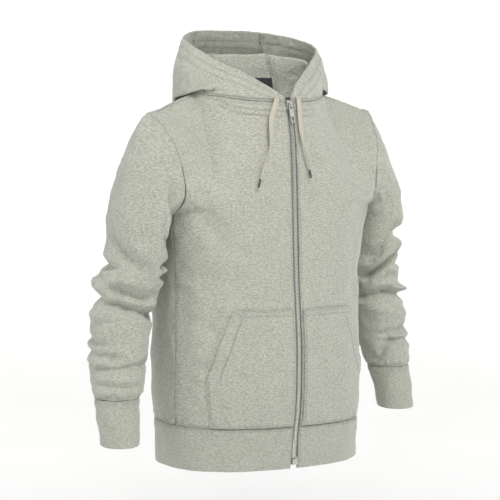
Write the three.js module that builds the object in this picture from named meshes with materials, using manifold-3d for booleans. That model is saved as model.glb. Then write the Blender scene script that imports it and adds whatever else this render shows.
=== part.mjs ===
// Zip-up hooded sweatshirt, filled out as if worn, with its hood down.
// Millimetres, +Z up, the wearer faces -Y and the wearer's left is +X.
// The origin is on the centre line, level with the points where the shoulder seams meet the neck.
import * as THREE from "three";
import { mergeVertices } from "three/addons/utils/BufferGeometryUtils.js";
import Module from "manifold-3d";

const wasm = await Module();
wasm.setup();

// Driving dimensions
const CLOTH = 2.2; // thickness of the loopback jersey
const RIB = 3.0; // thickness of the doubled hem band and cuffs
const SEAM_GAP = 0.3; // between two sewn pieces
const HALF_OPENING = 5.3; // from the centre line to each front edge
const HEM_Z = -547;
const RIB_SEAM_Z = -484;
const UNDERARM_Z = -168;
const NECK_FRONT_Z = -13;
const SIDE_ANGLE = 78; // where the side seam lies, in degrees from the centre front
const CUFF_SEAM_Z = -428;
const CUFF_END_Z = -494;
const TUBE_START_Z = -192; // where a sleeve has turned from its cap into a tube
const POCKET_TOP_Z = -310;
const HOOD_HEM = 3.4; // thickness of the doubled hem round the hood's opening
const TAPE = 1.0; // thickness of the zip's tapes
const CHAIN_HALF = 3.0; // half of the closed chain's width
const CHAIN_DEPTH = 2.2;
const CHAIN_FOOT_Z = -531.4;
const CHAIN_HEAD_Z = -17.3;
const SLIDER_Z = -17; // middle of the zip's slider
const TAB_LENGTH = 27;
const CORD_WIDTH = 8;
const CORD_DEPTH = 1.6;

const DEG = Math.PI / 180;
const vec = (x, y, z) => new THREE.Vector3(x, y, z);
const mix = (a, b, t) => a + (b - a) * t;
const smooth = (t) => {
  const s = Math.min(1, Math.max(0, t));
  return s * s * (3 - 2 * s);
};

// A table with named columns; its first column is the one that it is read by.
const table = (names, rows) => ({ columns: names.split(" "), rows });

// All columns of a table at a key, smoothly interpolated.
function read({ columns, rows }, key) {
  const last = rows.length - 1;
  const falling = rows[last][0] < rows[0][0];
  let i = 0;
  while (i < last - 1 && (falling ? key < rows[i + 1][0] : key > rows[i + 1][0])) i++;
  const span = rows[i + 1][0] - rows[i][0];
  const t = Math.min(1, Math.max(0, (key - rows[i][0]) / span));
  const slope = (k, c) => {
    const before = rows[Math.max(0, k - 1)];
    const after = rows[Math.min(last, k + 1)];
    return ((after[c] - before[c]) / (after[0] - before[0])) * span;
  };
  const found = {};
  columns.forEach((name, c) => {
    const start = rows[i][c] * (2 * t ** 3 - 3 * t ** 2 + 1) + slope(i, c) * (t ** 3 - 2 * t ** 2 + t);
    const end = rows[i + 1][c] * (3 * t ** 2 - 2 * t ** 3) + slope(i + 1, c) * (t ** 3 - t ** 2);
    found[name] = start + end;
  });
  return found;
}
const place = (row) => vec(row.x, row.y, row.z);
const hermite = (a, ta, b, tb, t) =>
  vec(0, 0, 0)
    .addScaledVector(a, 2 * t ** 3 - 3 * t ** 2 + 1)
    .addScaledVector(ta, t ** 3 - 2 * t ** 2 + t)
    .addScaledVector(b, 3 * t ** 2 - 2 * t ** 3)
    .addScaledVector(tb, t ** 3 - t ** 2);

// Body sections from the hem up to the underarm
const BODY = table("z halfWidth front back squareness", [
  [-547, 164.5, 98, 91, 2.4],
  [-512, 164.5, 100.5, 94, 2.4],
  [-484, 164, 104, 99, 2.4],
  [-460, 165.5, 108, 106, 2.4],
  [-420, 165.5, 110.5, 111, 2.4],
  [-364, 164, 110.5, 112, 2.4],
  [-310, 162.5, 106.5, 112, 2.4],
  [-267, 163, 103, 108, 2.45],
  [-220, 167, 101, 105, 2.75],
  [-168, 172.5, 99, 103, 3.3],
]);
// The line of the zip above the underarm, and the middle of the back up to the neck
const CENTRE_FRONT = table("z y", [
  [-168, -99],
  [-153, -98.5],
  [-110, -96.5],
  [-66, -93],
  [-35, -87.5],
  [-5, -80],
]);
const CENTRE_BACK = table("z y", [
  [-168, 103],
  [-140, 101.5],
  [-100, 94],
  [-60, 78],
  [-30, 58],
  [-12, 38],
]);

// Neck seam, from the centre front over the shoulder to the centre back
const NECK = table("s x y z", [
  [0, 5.3, -82, -13],
  [0.14, 38, -76, -12],
  [0.28, 70, -58, -9],
  [0.42, 98, -32, -4],
  [0.54, 113, 0, 0],
  [0.65, 106, 20, -3],
  [0.78, 76, 32, -8],
  [0.89, 40, 37, -11],
  [1, 0, 38, -12],
]);
const SHOULDER_AT = 0.54; // where the shoulder seam meets the neck seam
const SHOULDER_POINT = vec(195, -15, -26);

// A point of the body below the underarm; angle 0 is the centre front and 180 the centre back.
function bodyPoint(angle, z, swell = 0) {
  const { halfWidth, front, back, squareness } = read(BODY, z);
  const sine = Math.sin(angle * DEG);
  const cosine = Math.cos(angle * DEG);
  const depth = cosine > 0 ? -front : back;
  const power = 2 / squareness;
  const point = vec(halfWidth * Math.abs(sine) ** power, depth * Math.abs(cosine) ** power, z);
  return swell ? point.addScaledVector(vec(point.x, point.y, 0).normalize(), swell) : point;
}
function angleOf(x, z) {
  const { halfWidth, squareness } = read(BODY, z);
  return Math.asin((x / halfWidth) ** (squareness / 2)) / DEG;
}

// Armhole edges from the underarm up to the shoulder point
const UNDERARM = bodyPoint(SIDE_ANGLE, UNDERARM_Z);
const ARMHOLE = {
  front: table("v x y z", [
    [0, UNDERARM.x, UNDERARM.y, UNDERARM_Z],
    [0.12, 170, -58, -161],
    [0.26, 168, -71, -142],
    [0.5, 172, -70, -104],
    [0.7, 179, -61, -72],
    [0.86, 186, -41, -46],
    [1, 195, -15, -26],
  ]),
  back: table("v x y z", [
    [0, UNDERARM.x, UNDERARM.y, UNDERARM_Z],
    [0.12, 169.5, 0, -167],
    [0.26, 168, 34, -150],
    [0.5, 172, 52, -108],
    [0.7, 180, 46, -72],
    [0.86, 187, 24, -45],
    [1, 195, -15, -26],
  ]),
};

const NECK_SHARE = 0.5; // share of a panel's width that ends at the neck seam
const panelAngle = (half, c, z) => mix(half === "front" ? angleOf(HALF_OPENING, z) : 180, SIDE_ANGLE, c);

// The upper edge of a front or back: neck seam, then shoulder seam. c is 0 at the centre, 1 at the arm.
function topEdge(half, c) {
  if (c >= NECK_SHARE) {
    const shoulder = place(read(NECK, SHOULDER_AT));
    return shoulder.lerp(SHOULDER_POINT, (c - NECK_SHARE) / (1 - NECK_SHARE));
  }
  return place(read(NECK, mix(half === "front" ? 0 : 1, SHOULDER_AT, c / NECK_SHARE)));
}

// The centre edge of a front or back above the underarm, v from 0 at the underarm to 1 at the neck.
function centreEdge(half, v) {
  const z = mix(UNDERARM_Z, topEdge(half, 0).z, v);
  return half === "front" ? vec(HALF_OPENING, read(CENTRE_FRONT, z).y, z) : vec(0, read(CENTRE_BACK, z).y, z);
}

const ARM_PULL = 1.8; // how closely the shape of the armhole keeps to its edge
// A point of a front or back above the underarm, blended from the four edges of that area.
function yokePoint(half, c, v) {
  const s = smooth(v);
  const rise = (foot, head) => foot.clone().lerp(head, s);
  const point = rise(bodyPoint(panelAngle(half, c, UNDERARM_Z), UNDERARM_Z), topEdge(half, c));
  const atCentre = rise(bodyPoint(panelAngle(half, 0, UNDERARM_Z), UNDERARM_Z), topEdge(half, 0));
  const atArm = rise(bodyPoint(SIDE_ANGLE, UNDERARM_Z), topEdge(half, 1));
  point.addScaledVector(centreEdge(half, v).sub(atCentre), 1 - c);
  return point.addScaledVector(place(read(ARMHOLE[half], v)).sub(atArm), c ** ARM_PULL);
}

// Any point of a front or back: h runs from 0 at the rib seam to 1 at the upper edge.
const BODY_ROWS = 12;
const YOKE_ROWS = 11;
const PANEL_ROWS = BODY_ROWS + YOKE_ROWS;
const YOKE_FROM = BODY_ROWS / PANEL_ROWS;
function panelPoint(half, c, h) {
  if (h > YOKE_FROM) return yokePoint(half, c, (h - YOKE_FROM) / (1 - YOKE_FROM));
  const z = mix(RIB_SEAM_Z + SEAM_GAP, UNDERARM_Z, h / YOKE_FROM);
  return bodyPoint(panelAngle(half, c, z), z);
}

// Sleeve sections below the cap, and the cuff
const ARM = table("z x y across deep", [
  [-192, 208.5, -4, 34.5, 66],
  [-232, 210, -2, 38.5, 61],
  [-262, 214, 3, 42, 54],
  [-289, 221, 6, 43, 46],
  [-330, 230, 6, 43.5, 44],
  [-365, 236, 4, 42.5, 43],
  [-400, 241, -4, 38.5, 40],
  [-417, 243.5, -7, 36.5, 38],
  [-428, 245, -8.5, 32.5, 33.5],
  [-460, 248, -17, 30, 31],
  [-494, 249.5, -24, 27.5, 29],
]);
// Folds of the sleeves. turn is 0 on the outside of the arm, 90 in front and 180 on the inside.
const FOLD_COLUMNS = "z turn zEnd turnEnd depth width";
const FOLDS = {
  right: table(FOLD_COLUMNS, [
    [-262, -25, -287, 92, 5, 9],
    [-296, 40, -316, 150, 6.5, 8],
    [-241, 128, -236, 175, 6, 9],
    [-240, -60, -244, -5, 4, 7],
    [-285, -70, -287, -15, 4, 7],
    [-335, -80, -352, 20, 2.5, 9],
    [-363, -30, -371, 55, 3, 7],
    [-386, 22, -382, 125, 3.5, 7],
    [-408, 30, -411, 100, 2.5, 6],
    [-205, 150, -232, 215, 4, 12],
    [-272, 195, -256, 285, 5, 10],
    [-304, 180, -290, 270, 5.5, 9],
    [-345, 200, -330, 290, 3.5, 9],
    [-380, 190, -372, 270, 3, 8],
    [-140, -55, -168, 10, -3, 16],
    [-262, -75, -270, 5, -8, 12],
    [-310, -75, -312, 10, -3, 10],
  ]),
  left: table(FOLD_COLUMNS, [
    [-203, 85, -249, 128, 3.5, 11],
    [-250, 66, -281, 135, 7, 9],
    [-316, 35, -308, 94, 4.5, 7],
    [-308, 94, -316, 160, 5.5, 8],
    [-217, 10, -215, 60, 8, 9],
    [-310, 15, -304, 70, -5, 9],
    [-190, 5, -190, 60, -2, 10],
    [-262, 15, -264, 60, 3.5, 7],
    [-367, 40, -375, 112, 3, 6],
    [-388, 35, -386, 112, 3, 6],
    [-386, 112, -414, 150, 3, 8],
    [-345, 60, -336, 130, -2, 12],
    [-245, -70, -238, 10, 4.5, 9],
    [-280, -80, -288, 0, 5, 9],
    [-330, -85, -322, 5, 3.5, 9],
    [-272, 195, -262, 285, 5, 10],
    [-300, 185, -312, 275, 5, 9],
    [-368, 200, -356, 280, 3, 8],
  ]),
};
const FOLD_FADE = 22; // degrees over which a fold dies away past its ends

// How far the folds of one sleeve pull its surface in at a point.
function foldDepth(side, z, turn) {
  let depth = 0;
  for (const [z0, t0, z1, t1, deep, width] of FOLDS[side].rows) {
    const middle = (t0 + t1) / 2;
    const near = ((((turn - middle + 180) % 360) + 360) % 360) - 180 + middle;
    const share = Math.min(1, Math.max(0, (near - t0) / (t1 - t0)));
    const past = near - mix(t0, t1, share);
    const away = z - mix(z0, z1, share);
    depth += deep * Math.exp(-((past / FOLD_FADE) ** 2) - (away / width) ** 2);
  }
  return depth;
}

function tubePoint(side, turn, z) {
  const { x, y, across, deep } = read(ARM, z);
  const inward = z > CUFF_SEAM_Z ? foldDepth(side, z, turn) * smooth((z - CUFF_SEAM_Z) / 12) : 0;
  const outX = Math.cos(turn * DEG);
  const outY = -Math.sin(turn * DEG);
  return vec(x + (across - inward) * outX, y + (deep - inward) * outY, z);
}

// A point of the armhole edge, and the direction from the hollow of the armhole outwards there
function armhole(turn) {
  const t = ((turn % 360) + 360) % 360;
  return place(t <= 180 ? read(ARMHOLE.front, 1 - t / 180) : read(ARMHOLE.back, t / 180 - 1));
}
const ARM_AXIS = vec(0.95, 0, -0.31);
function armholeOut(turn) {
  const along = armhole(turn + 2).sub(armhole(turn - 2)).normalize();
  const radial = ARM_AXIS.clone().cross(along).normalize();
  const under = smooth((-radial.z - 0.2) / 0.8);
  return radial.addScaledVector(ARM_AXIS, mix(0.3, 1, under)).normalize();
}
const armholeHeading = (turn) => {
  const along = armhole(turn + 2).sub(armhole(turn - 2)).normalize();
  return along.cross(armholeOut(turn)).normalize();
};

// A point of a sleeve: k is 0 at the armhole, 1 where the tube starts.
function capPoint(side, turn, k) {
  const from = armhole(turn).addScaledVector(armholeHeading(turn), SEAM_GAP);
  const to = tubePoint(side, turn, TUBE_START_Z);
  const reach = from.distanceTo(to);
  const upper = smooth((Math.cos(turn * DEG) + 0.6) / 1.4);
  const leave = vec(mix(0.9, 0.8, upper), 0, mix(-0.44, -0.6, upper));
  leave.multiplyScalar(reach * mix(0.55, 0.62, upper));
  const arrive = vec(0, 0, -reach * mix(0.8, 0.95, upper));
  const point = hermite(from, leave, to, arrive, k);
  const pull = foldDepth(side, point.z, turn) * smooth(k * 1.6) * (1 - k);
  return point.addScaledVector(vec(Math.cos(turn * DEG), -Math.sin(turn * DEG), 0), -pull);
}

// A closed wall from a grid of outer points, with its inside moved in along the normals.
function wall(points, thickness, { ring = false, flip = false, inwardAt = null } = {}) {
  const rows = points.length;
  const cols = points[0].length;
  const column = (j) => (ring ? (j + cols) % cols : Math.min(cols - 1, Math.max(0, j)));
  const row = (i) => Math.min(rows - 1, Math.max(0, i));
  const inward = (i, j) => {
    const along = points[row(i + 1)][j].clone().sub(points[row(i - 1)][j]);
    const across = points[i][column(j + 1)].clone().sub(points[i][column(j - 1)]);
    return across.cross(along).normalize().multiplyScalar(flip ? 1 : -1);
  };
  const vertices = [];
  for (let i = 0; i < rows; i++)
    for (let j = 0; j < cols; j++) {
      const direction = (inwardAt && inwardAt(i, j)) || inward(i, j);
      const depth = typeof thickness === "function" ? thickness(i, j) : thickness;
      vertices.push(points[i][j], points[i][j].clone().addScaledVector(direction, depth));
    }
  const id = (i, j, inner) => 2 * (i * cols + (ring ? j % cols : j)) + inner;
  const faces = [];
  const quad = (a, b, c, d) => faces.push(a, b, c, a, c, d);
  const wide = ring ? cols : cols - 1;
  for (let i = 0; i < rows - 1; i++)
    for (let j = 0; j < wide; j++) {
      quad(id(i, j, 0), id(i, j + 1, 0), id(i + 1, j + 1, 0), id(i + 1, j, 0));
      quad(id(i, j, 1), id(i + 1, j, 1), id(i + 1, j + 1, 1), id(i, j + 1, 1));
    }
  for (let j = 0; j < wide; j++) {
    quad(id(0, j, 1), id(0, j + 1, 1), id(0, j + 1, 0), id(0, j, 0));
    quad(id(rows - 1, j, 0), id(rows - 1, j + 1, 0), id(rows - 1, j + 1, 1), id(rows - 1, j, 1));
  }
  if (!ring)
    for (let i = 0; i < rows - 1; i++) {
      quad(id(i, 0, 1), id(i, 0, 0), id(i + 1, 0, 0), id(i + 1, 0, 1));
      quad(id(i, cols - 1, 0), id(i, cols - 1, 1), id(i + 1, cols - 1, 1), id(i + 1, cols - 1, 0));
    }
  if (flip) faces.reverse();
  const geometry = new THREE.BufferGeometry();
  const places = vertices.flatMap((p) => [p.x, p.y, p.z]);
  geometry.setAttribute("position", new THREE.Float32BufferAttribute(places, 3));
  geometry.setIndex(faces);
  return geometry;
}
function grid(rows, cols, point) {
  const row = (i) => Array.from({ length: cols + 1 }, (_, j) => point(i / rows, j / cols));
  return Array.from({ length: rows + 1 }, (_, i) => row(i));
}

function surface(color, roughness, metalness = 0) {
  return new THREE.MeshStandardMaterial({ color, roughness, metalness });
}
const jersey = surface(0xb9bbb0, 0.95);
const ribKnit = surface(0xb4b6ab, 0.95);
const metal = surface(0xb8b8b4, 0.35, 0.9);
const zipTape = surface(0x9b9c94, 0.9);
const cordCotton = surface(0xd9cfbc, 0.9);
const labelWeave = surface(0x2a2a2c, 0.85);

const hoodie = new THREE.Group();
function add(name, geometry, material, parent = hoodie) {
  const mesh = new THREE.Mesh(geometry, material);
  mesh.name = name;
  parent.add(mesh);
  return mesh;
}
const SIDES = [
  { side: "left", mirror: false },
  { side: "right", mirror: true },
];
// The body hangs a little lower on the wearer's left; this grows from the chest down.
const SAG = 0.05;
const sag = (x, z) => -SAG * x * smooth((-200 - z) / 160);
const settled = (points) => points.map((r) => r.map((p) => vec(p.x, p.y, p.z + sag(p.x, p.z))));
const onSide = (points, mirror) => (mirror ? points.map((r) => r.map((p) => vec(-p.x, p.y, p.z))) : points);
const turned = (direction, mirror) => (mirror ? vec(-direction.x, direction.y, direction.z) : direction);

// Fronts and back
const PANEL_COLS = 9;
const SIDE_TRIM = 0.0011; // half of the side seam's gap, as a share of a panel's width
const SHOULDER_DROP = 0.16; // half of the shoulder seam's gap
function panelPoints(half) {
  return grid(PANEL_ROWS, PANEL_COLS, (h, c) => {
    const point = panelPoint(half, c * (1 - SIDE_TRIM), h);
    if (h === 1 && c >= NECK_SHARE) point.y += half === "front" ? -SHOULDER_DROP : SHOULDER_DROP;
    return point;
  });
}
// At the armhole, the shoulder seam and the side seam the walls of two pieces go in side by side.
function panelInward(half, mirror, i, k) {
  const h = i / PANEL_ROWS;
  const c = k / PANEL_COLS;
  if (c === 1 && h > YOKE_FROM) {
    const v = (h - YOKE_FROM) / (1 - YOKE_FROM);
    return turned(armholeOut(half === "front" ? 180 * (1 - v) : 180 * (1 + v)).negate(), mirror);
  }
  if (c === 1) return turned(vec(-1, 0.2, 0).normalize(), mirror);
  if (h === 1 && c >= NECK_SHARE) return turned(vec(-0.28, 0, -1).normalize(), mirror);
  return null;
}
for (const { side, mirror } of SIDES)
  add(
    "front_" + side,
    wall(settled(onSide(panelPoints("front"), mirror)), CLOTH, {
      flip: mirror,
      inwardAt: (i, j) => panelInward("front", mirror, i, j),
    }),
    jersey,
  );
const backHalf = panelPoints("back");
add(
  "back",
  wall(settled(backHalf.map((r) => [...r.slice(1).reverse().map((p) => vec(-p.x, p.y, p.z)), ...r])), CLOTH, {
    flip: true,
    inwardAt: (i, j) => panelInward("back", j < PANEL_COLS, i, Math.abs(j - PANEL_COLS)),
  }),
  jersey,
);

// Hem band
const HEM_COLS = 44;
const HEM_ROWS = 3;
const hemBand = grid(HEM_ROWS, HEM_COLS, (h, c) => {
  const z = mix(HEM_Z, RIB_SEAM_Z, h);
  const start = angleOf(HALF_OPENING, z);
  const angle = mix(start, 360 - start, c);
  const point = bodyPoint(angle > 180 ? 360 - angle : angle, z);
  return angle > 180 ? vec(-point.x, point.y, point.z) : point;
});
add("hem_band", wall(settled(hemBand), RIB), ribKnit);

// Sleeves and cuffs
const SLEEVE_TURNS = 2 * YOKE_ROWS;
const CAP_ROWS = 9;
const TUBE_ROWS = 19;
const CUFF_ROWS = 3;
const turnOf = (j) => (360 * j) / SLEEVE_TURNS;
function sleevePoints(side) {
  const ringAt = (point) => Array.from({ length: SLEEVE_TURNS }, (_, j) => point(turnOf(j)));
  const capRing = (i) => ringAt((turn) => capPoint(side, turn, i / CAP_ROWS));
  const cap = Array.from({ length: CAP_ROWS }, (_, i) => capRing(i));
  const tube = Array.from({ length: TUBE_ROWS + 1 }, (_, i) =>
    ringAt((turn) => tubePoint(side, turn, mix(TUBE_START_Z, CUFF_SEAM_Z, i / TUBE_ROWS))),
  );
  return [...cap, ...tube];
}
function cuffPoints(side) {
  const z = (i) => mix(CUFF_SEAM_Z - SEAM_GAP, CUFF_END_Z, i / CUFF_ROWS);
  return Array.from({ length: CUFF_ROWS + 1 }, (_, i) =>
    Array.from({ length: SLEEVE_TURNS }, (_, j) => tubePoint(side, turnOf(j), z(i))),
  );
}
const levelInward = (turn) => vec(-Math.cos(turn * DEG), Math.sin(turn * DEG), 0);
for (const { side, mirror } of SIDES) {
  const sleeve = sleevePoints(side);
  add(
    "sleeve_" + side,
    wall(onSide(sleeve, mirror), CLOTH, {
      ring: true,
      flip: mirror,
      inwardAt: (i, j) => {
        if (i === 0) return turned(armholeOut(turnOf(j)).negate(), mirror);
        return i === sleeve.length - 1 ? turned(levelInward(turnOf(j)), mirror) : null;
      },
    }),
    jersey,
  );
  add(
    "cuff_" + side,
    wall(onSide(cuffPoints(side), mirror), RIB, {
      ring: true,
      flip: mirror,
      inwardAt: (i, j) => turned(levelInward(turnOf(j)), mirror),
    }),
    ribKnit,
  );
}

// Pockets lie on the fronts. Their outer edge runs down the slanted mouth, then down a short side.
const POCKET_EDGE = table("z angle", [
  [RIB_SEAM_Z + 1.2, 48.5],
  [-466, 49.5],
  [-448, 51],
  [-432, 52],
  [-416, 52],
  [-394, 48.5],
  [-372, 45],
  [-350, 41.3],
  [-328, 37.7],
  [POCKET_TOP_Z, 34],
]);
const POCKET_COLS = 8;
const POCKET_LIFT = 0.7; // from the front to the pocket's inside
const POCKET_INSET = 2.4; // from a front edge to the pocket's inner edge
for (const { side, mirror } of SIDES) {
  const lift = POCKET_LIFT + CLOTH;
  const points = POCKET_EDGE.rows.map(([z, angle]) =>
    Array.from({ length: POCKET_COLS + 1 }, (_, j) => {
      const inner = angleOf(HALF_OPENING + POCKET_INSET, z);
      const swell = lift + 1.6 * Math.sin((Math.PI * j) / POCKET_COLS) * smooth((z + 479) / 40);
      return bodyPoint(mix(inner, angle, j / POCKET_COLS), z, swell);
    }),
  );
  add("pocket_" + side, wall(settled(onSide(points, mirror)), CLOTH, { flip: mirror }), jersey);
}

// Hood: each table is one line round the hood, from the centre front to the centre back. The cloth runs from
// the neck seam up to an inner fold, down behind it to the foot of the pouch, and up again to the opening.
const HOOD_LINES = [
  NECK,
  table("s x y z", [
    [0.42, 95, -29, 16],
    [0.54, 108, 4, 24],
    [0.65, 100, 24, 24],
    [0.78, 72, 38, 24],
    [0.89, 40, 46, 24],
    [1, 0, 48, 24],
  ]),
  table("s x y z", [
    [0.42, 91, -26, 32],
    [0.54, 99, 10, 46],
    [0.65, 86, 30, 50],
    [0.78, 62, 46, 55],
    [0.89, 34, 54, 57],
    [1, 0, 57, 57],
  ]),
  table("s x y z", [
    [0.42, 97, -30, 22],
    [0.54, 111, 12, 34],
    [0.65, 102, 40, 34],
    [0.78, 74, 66, 24],
    [0.89, 44, 84, 10],
    [1, 0, 88, 8],
  ]),
  table("s x y z", [
    [0.42, 101, -34, -2.4],
    [0.54, 127, -6, -1.6],
    [0.65, 118, 40, -7],
    [0.78, 86, 84, -38],
    [0.89, 50, 109, -76],
    [1, 0, 120, -90],
  ]),
  table("s x y z", [
    [0.42, 100, -33, 22],
    [0.54, 125, -2, 28],
    [0.65, 118, 44, 28],
    [0.78, 90, 90, 12],
    [0.89, 54, 119, 2],
    [1, 0, 132, -2],
  ]),
  table("s x y z", [
    [0, 5.3, -80, -5],
    [0.14, 28, -60, 15],
    [0.28, 52, -45, 30],
    [0.42, 80, -24, 46],
    [0.54, 110, 3, 69],
    [0.65, 105, 40, 82],
    [0.78, 75, 68, 91],
    [0.89, 40, 86, 95],
    [1, 0, 95, 96],
  ]),
];
const FOLD_FROM = 0.38; // along the neck seam, where the hood's inner fold starts
const FOLD_FULL = 0.58;
const FRONT_BULGE = 5;
const PLAIN_SHARE = [0, 0.05, 0.1, 0.15, 0.2, 0.6, 1]; // how high the lines lie where the hood isn't folded
const HOOD_SEAM = 0.83; // where a side of the hood meets its middle panel
function hoodLine(k, s) {
  const foot = place(read(NECK, s));
  foot.z += SEAM_GAP;
  if (k === 0) return foot;
  const rim = place(read(HOOD_LINES[6], s));
  if (k === 6) return rim;
  const share = PLAIN_SHARE[k];
  const outward = vec(foot.x, foot.y, 20).normalize();
  const bulge = FRONT_BULGE * Math.sin(Math.PI * share) * smooth(s / 0.15);
  const plain = foot.clone().lerp(rim, share).addScaledVector(outward, bulge);
  return plain.lerp(place(read(HOOD_LINES[k], s)), smooth((s - FOLD_FROM) / (FOLD_FULL - FOLD_FROM)));
}
function hoodPoint(s, v) {
  const line = new THREE.CatmullRomCurve3(HOOD_LINES.map((_, k) => hoodLine(k, s)), false, "centripetal");
  return line.getPoint(v);
}
const HOOD_ROWS = 26;
const HOOD_SIDE_COLS = 15;
const HOOD_MID_COLS = 3;
const HOOD_TRIM = 0.0006; // half of the gap between two panels, along the neck seam
const hoodThickness = (i) => mix(CLOTH, HOOD_HEM, smooth((i / HOOD_ROWS - 0.86) / 0.05));
function footInward(s) {
  const along = place(read(NECK, Math.min(1, s + 0.01))).sub(place(read(NECK, Math.max(0, s - 0.01))));
  return s > 0.995 ? vec(0, -1, 0) : vec(-along.y, along.x, 0).normalize();
}
function hoodSurface(s, v) {
  const d = 0.004;
  const across = hoodPoint(Math.min(1, s + d), v).sub(hoodPoint(Math.max(0, s - d), v));
  const along = hoodPoint(s, Math.min(1, v + d)).sub(hoodPoint(s, Math.max(0, v - d)));
  return along.cross(across).normalize();
}
for (const { side, mirror } of SIDES) {
  const at = (c) => c * (HOOD_SEAM - HOOD_TRIM);
  const points = grid(HOOD_ROWS, HOOD_SIDE_COLS, (v, c) => hoodPoint(at(c), v));
  const inwardAt = (i, j) => {
    if (i === 0) return turned(footInward(at(j / HOOD_SIDE_COLS)), mirror);
    return j === HOOD_SIDE_COLS ? turned(hoodSurface(HOOD_SEAM, i / HOOD_ROWS), mirror) : null;
  };
  add("hood_" + side, wall(onSide(points, mirror), hoodThickness, { flip: mirror, inwardAt }), jersey);
}
const hoodMiddle = grid(HOOD_ROWS, HOOD_MID_COLS * 2, (v, c) => {
  const off = Math.abs(2 * c - 1);
  const point = hoodPoint(mix(1, HOOD_SEAM + HOOD_TRIM, off), v);
  return c < 0.5 ? point : vec(-point.x, point.y, point.z);
});
const middleInward = (i, j) => {
  const off = Math.abs(j / HOOD_MID_COLS - 1);
  const mirror = j > HOOD_MID_COLS;
  if (i === 0) return turned(footInward(mix(1, HOOD_SEAM, off)), mirror);
  return off === 1 ? turned(hoodSurface(HOOD_SEAM, i / HOOD_ROWS), mirror) : null;
};
add("hood_middle", wall(hoodMiddle, hoodThickness, { inwardAt: middleInward }), jersey);

// Neck label, stitched inside the hood at the centre back
const LABEL_HALF = 54;
const LABEL_END = 0.846; // where along the neck seam the label ends
const LABEL_DEPTH = 0.8;
const labelPoints = grid(3, 10, (h, c) => {
  const off = Math.abs(2 * c - 1);
  const s = mix(1, LABEL_END, off);
  const v = mix(0.035, 0.16, h);
  const point = hoodPoint(s, v).addScaledVector(hoodSurface(s, v), CLOTH + SEAM_GAP + 0.2);
  point.x = LABEL_HALF * off;
  return c < 0.5 ? point : vec(-point.x, point.y, point.z);
});
add("neck_label", wall(labelPoints, LABEL_DEPTH), labelWeave);

// Zip: strips that follow the line where the fronts meet
function centreLine(z) {
  if (z <= UNDERARM_Z) return vec(0, -read(BODY, z).front, z);
  return vec(0, read(CENTRE_FRONT, z).y, z);
}
function centreOut(z) {
  const rise = centreLine(z + 2).sub(centreLine(z - 2)).normalize();
  return vec(0, -rise.z, rise.y);
}
const ZIP_ROWS = 22;
function strip(from, to, footZ, headZ, lift, thickness) {
  const points = grid(ZIP_ROWS, 1, (h, c) => {
    const z = mix(footZ, headZ, h);
    const point = centreLine(z).addScaledVector(centreOut(z), lift);
    point.x = mix(from, to, c);
    return point;
  });
  return wall(points, thickness, { inwardAt: (i) => centreOut(mix(footZ, headZ, i / ZIP_ROWS)).negate() });
}
const TAPE_INNER = 1.9; // from the centre line to a tape's edge, under the chain
const TAPE_OUTER = 14;
const TAPE_LIFT = -(RIB + SEAM_GAP + 0.2);
for (const { side, mirror } of SIDES) {
  const [from, to] = mirror ? [-TAPE_OUTER, -TAPE_INNER] : [TAPE_INNER, TAPE_OUTER];
  add("zip_tape_" + side, strip(from, to, CHAIN_FOOT_Z, NECK_FRONT_Z - 1, TAPE_LIFT, TAPE), zipTape);
}
const CHAIN_LIFT = TAPE_LIFT + SEAM_GAP + CHAIN_DEPTH;
add("zip_chain", strip(-CHAIN_HALF, CHAIN_HALF, CHAIN_FOOT_Z, CHAIN_HEAD_Z, CHAIN_LIFT, CHAIN_DEPTH), metal);

// A block between two corners, as a solid for joining and cutting
function block(x0, y0, z0, x1, y1, z1) {
  const box = new THREE.BoxGeometry(x1 - x0, y1 - y0, z1 - z0);
  box.translate((x0 + x1) / 2, (y0 + y1) / 2, (z0 + z1) / 2);
  return solid(box);
}
function rod(radius, x0, x1, y, z) {
  const shape = new THREE.CylinderGeometry(radius, radius, x1 - x0, 16);
  shape.rotateZ(Math.PI / 2);
  shape.translate((x0 + x1) / 2, y, z);
  return solid(shape);
}
function solid(geometry) {
  geometry.deleteAttribute("normal");
  geometry.deleteAttribute("uv");
  const merged = mergeVertices(geometry, 1e-4);
  const triVerts = new Uint32Array(merged.index.array);
  const vertProperties = merged.attributes.position.array;
  return new wasm.Manifold(new wasm.Mesh({ numProp: 3, vertProperties, triVerts }));
}
function shown(made) {
  const mesh = made.getMesh();
  const geometry = new THREE.BufferGeometry();
  geometry.setAttribute("position", new THREE.Float32BufferAttribute(mesh.vertProperties, 3));
  geometry.setIndex(new THREE.BufferAttribute(mesh.triVerts, 1));
  return geometry;
}

// Slider and pull tab, in a frame that leans with the front: +Z up along the chain, -Y out of the cloth
const SLIDER_HALF = 4.8;
const SLIDER_FOOT = -7;
const SLIDER_HEAD = 7;
const PLATE = 1.8;
const GRIP = 0.4; // between the chain and the slider round it
const slider = new THREE.Group();
slider.position.copy(centreLine(SLIDER_Z));
const sliderOut = centreOut(SLIDER_Z);
slider.rotation.x = Math.atan2(-sliderOut.z, -sliderOut.y);
hoodie.add(slider);
const chainFront = -CHAIN_LIFT;
const tapeFront = -TAPE_LIFT;
const plateFront = chainFront - GRIP - PLATE;
const plateBack = tapeFront + TAPE + GRIP + PLATE;
const POST_FOOT = 1.2;
const BAIL_HALF = 1.4;
const PIN_Y = plateFront - 1.5;
const PIN_RADIUS = 0.8;
const slotBack = tapeFront + TAPE + GRIP;
const slot = (half, front) => block(-half, front, SLIDER_FOOT - 1, half, slotBack, SLIDER_HEAD + 1);
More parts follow.
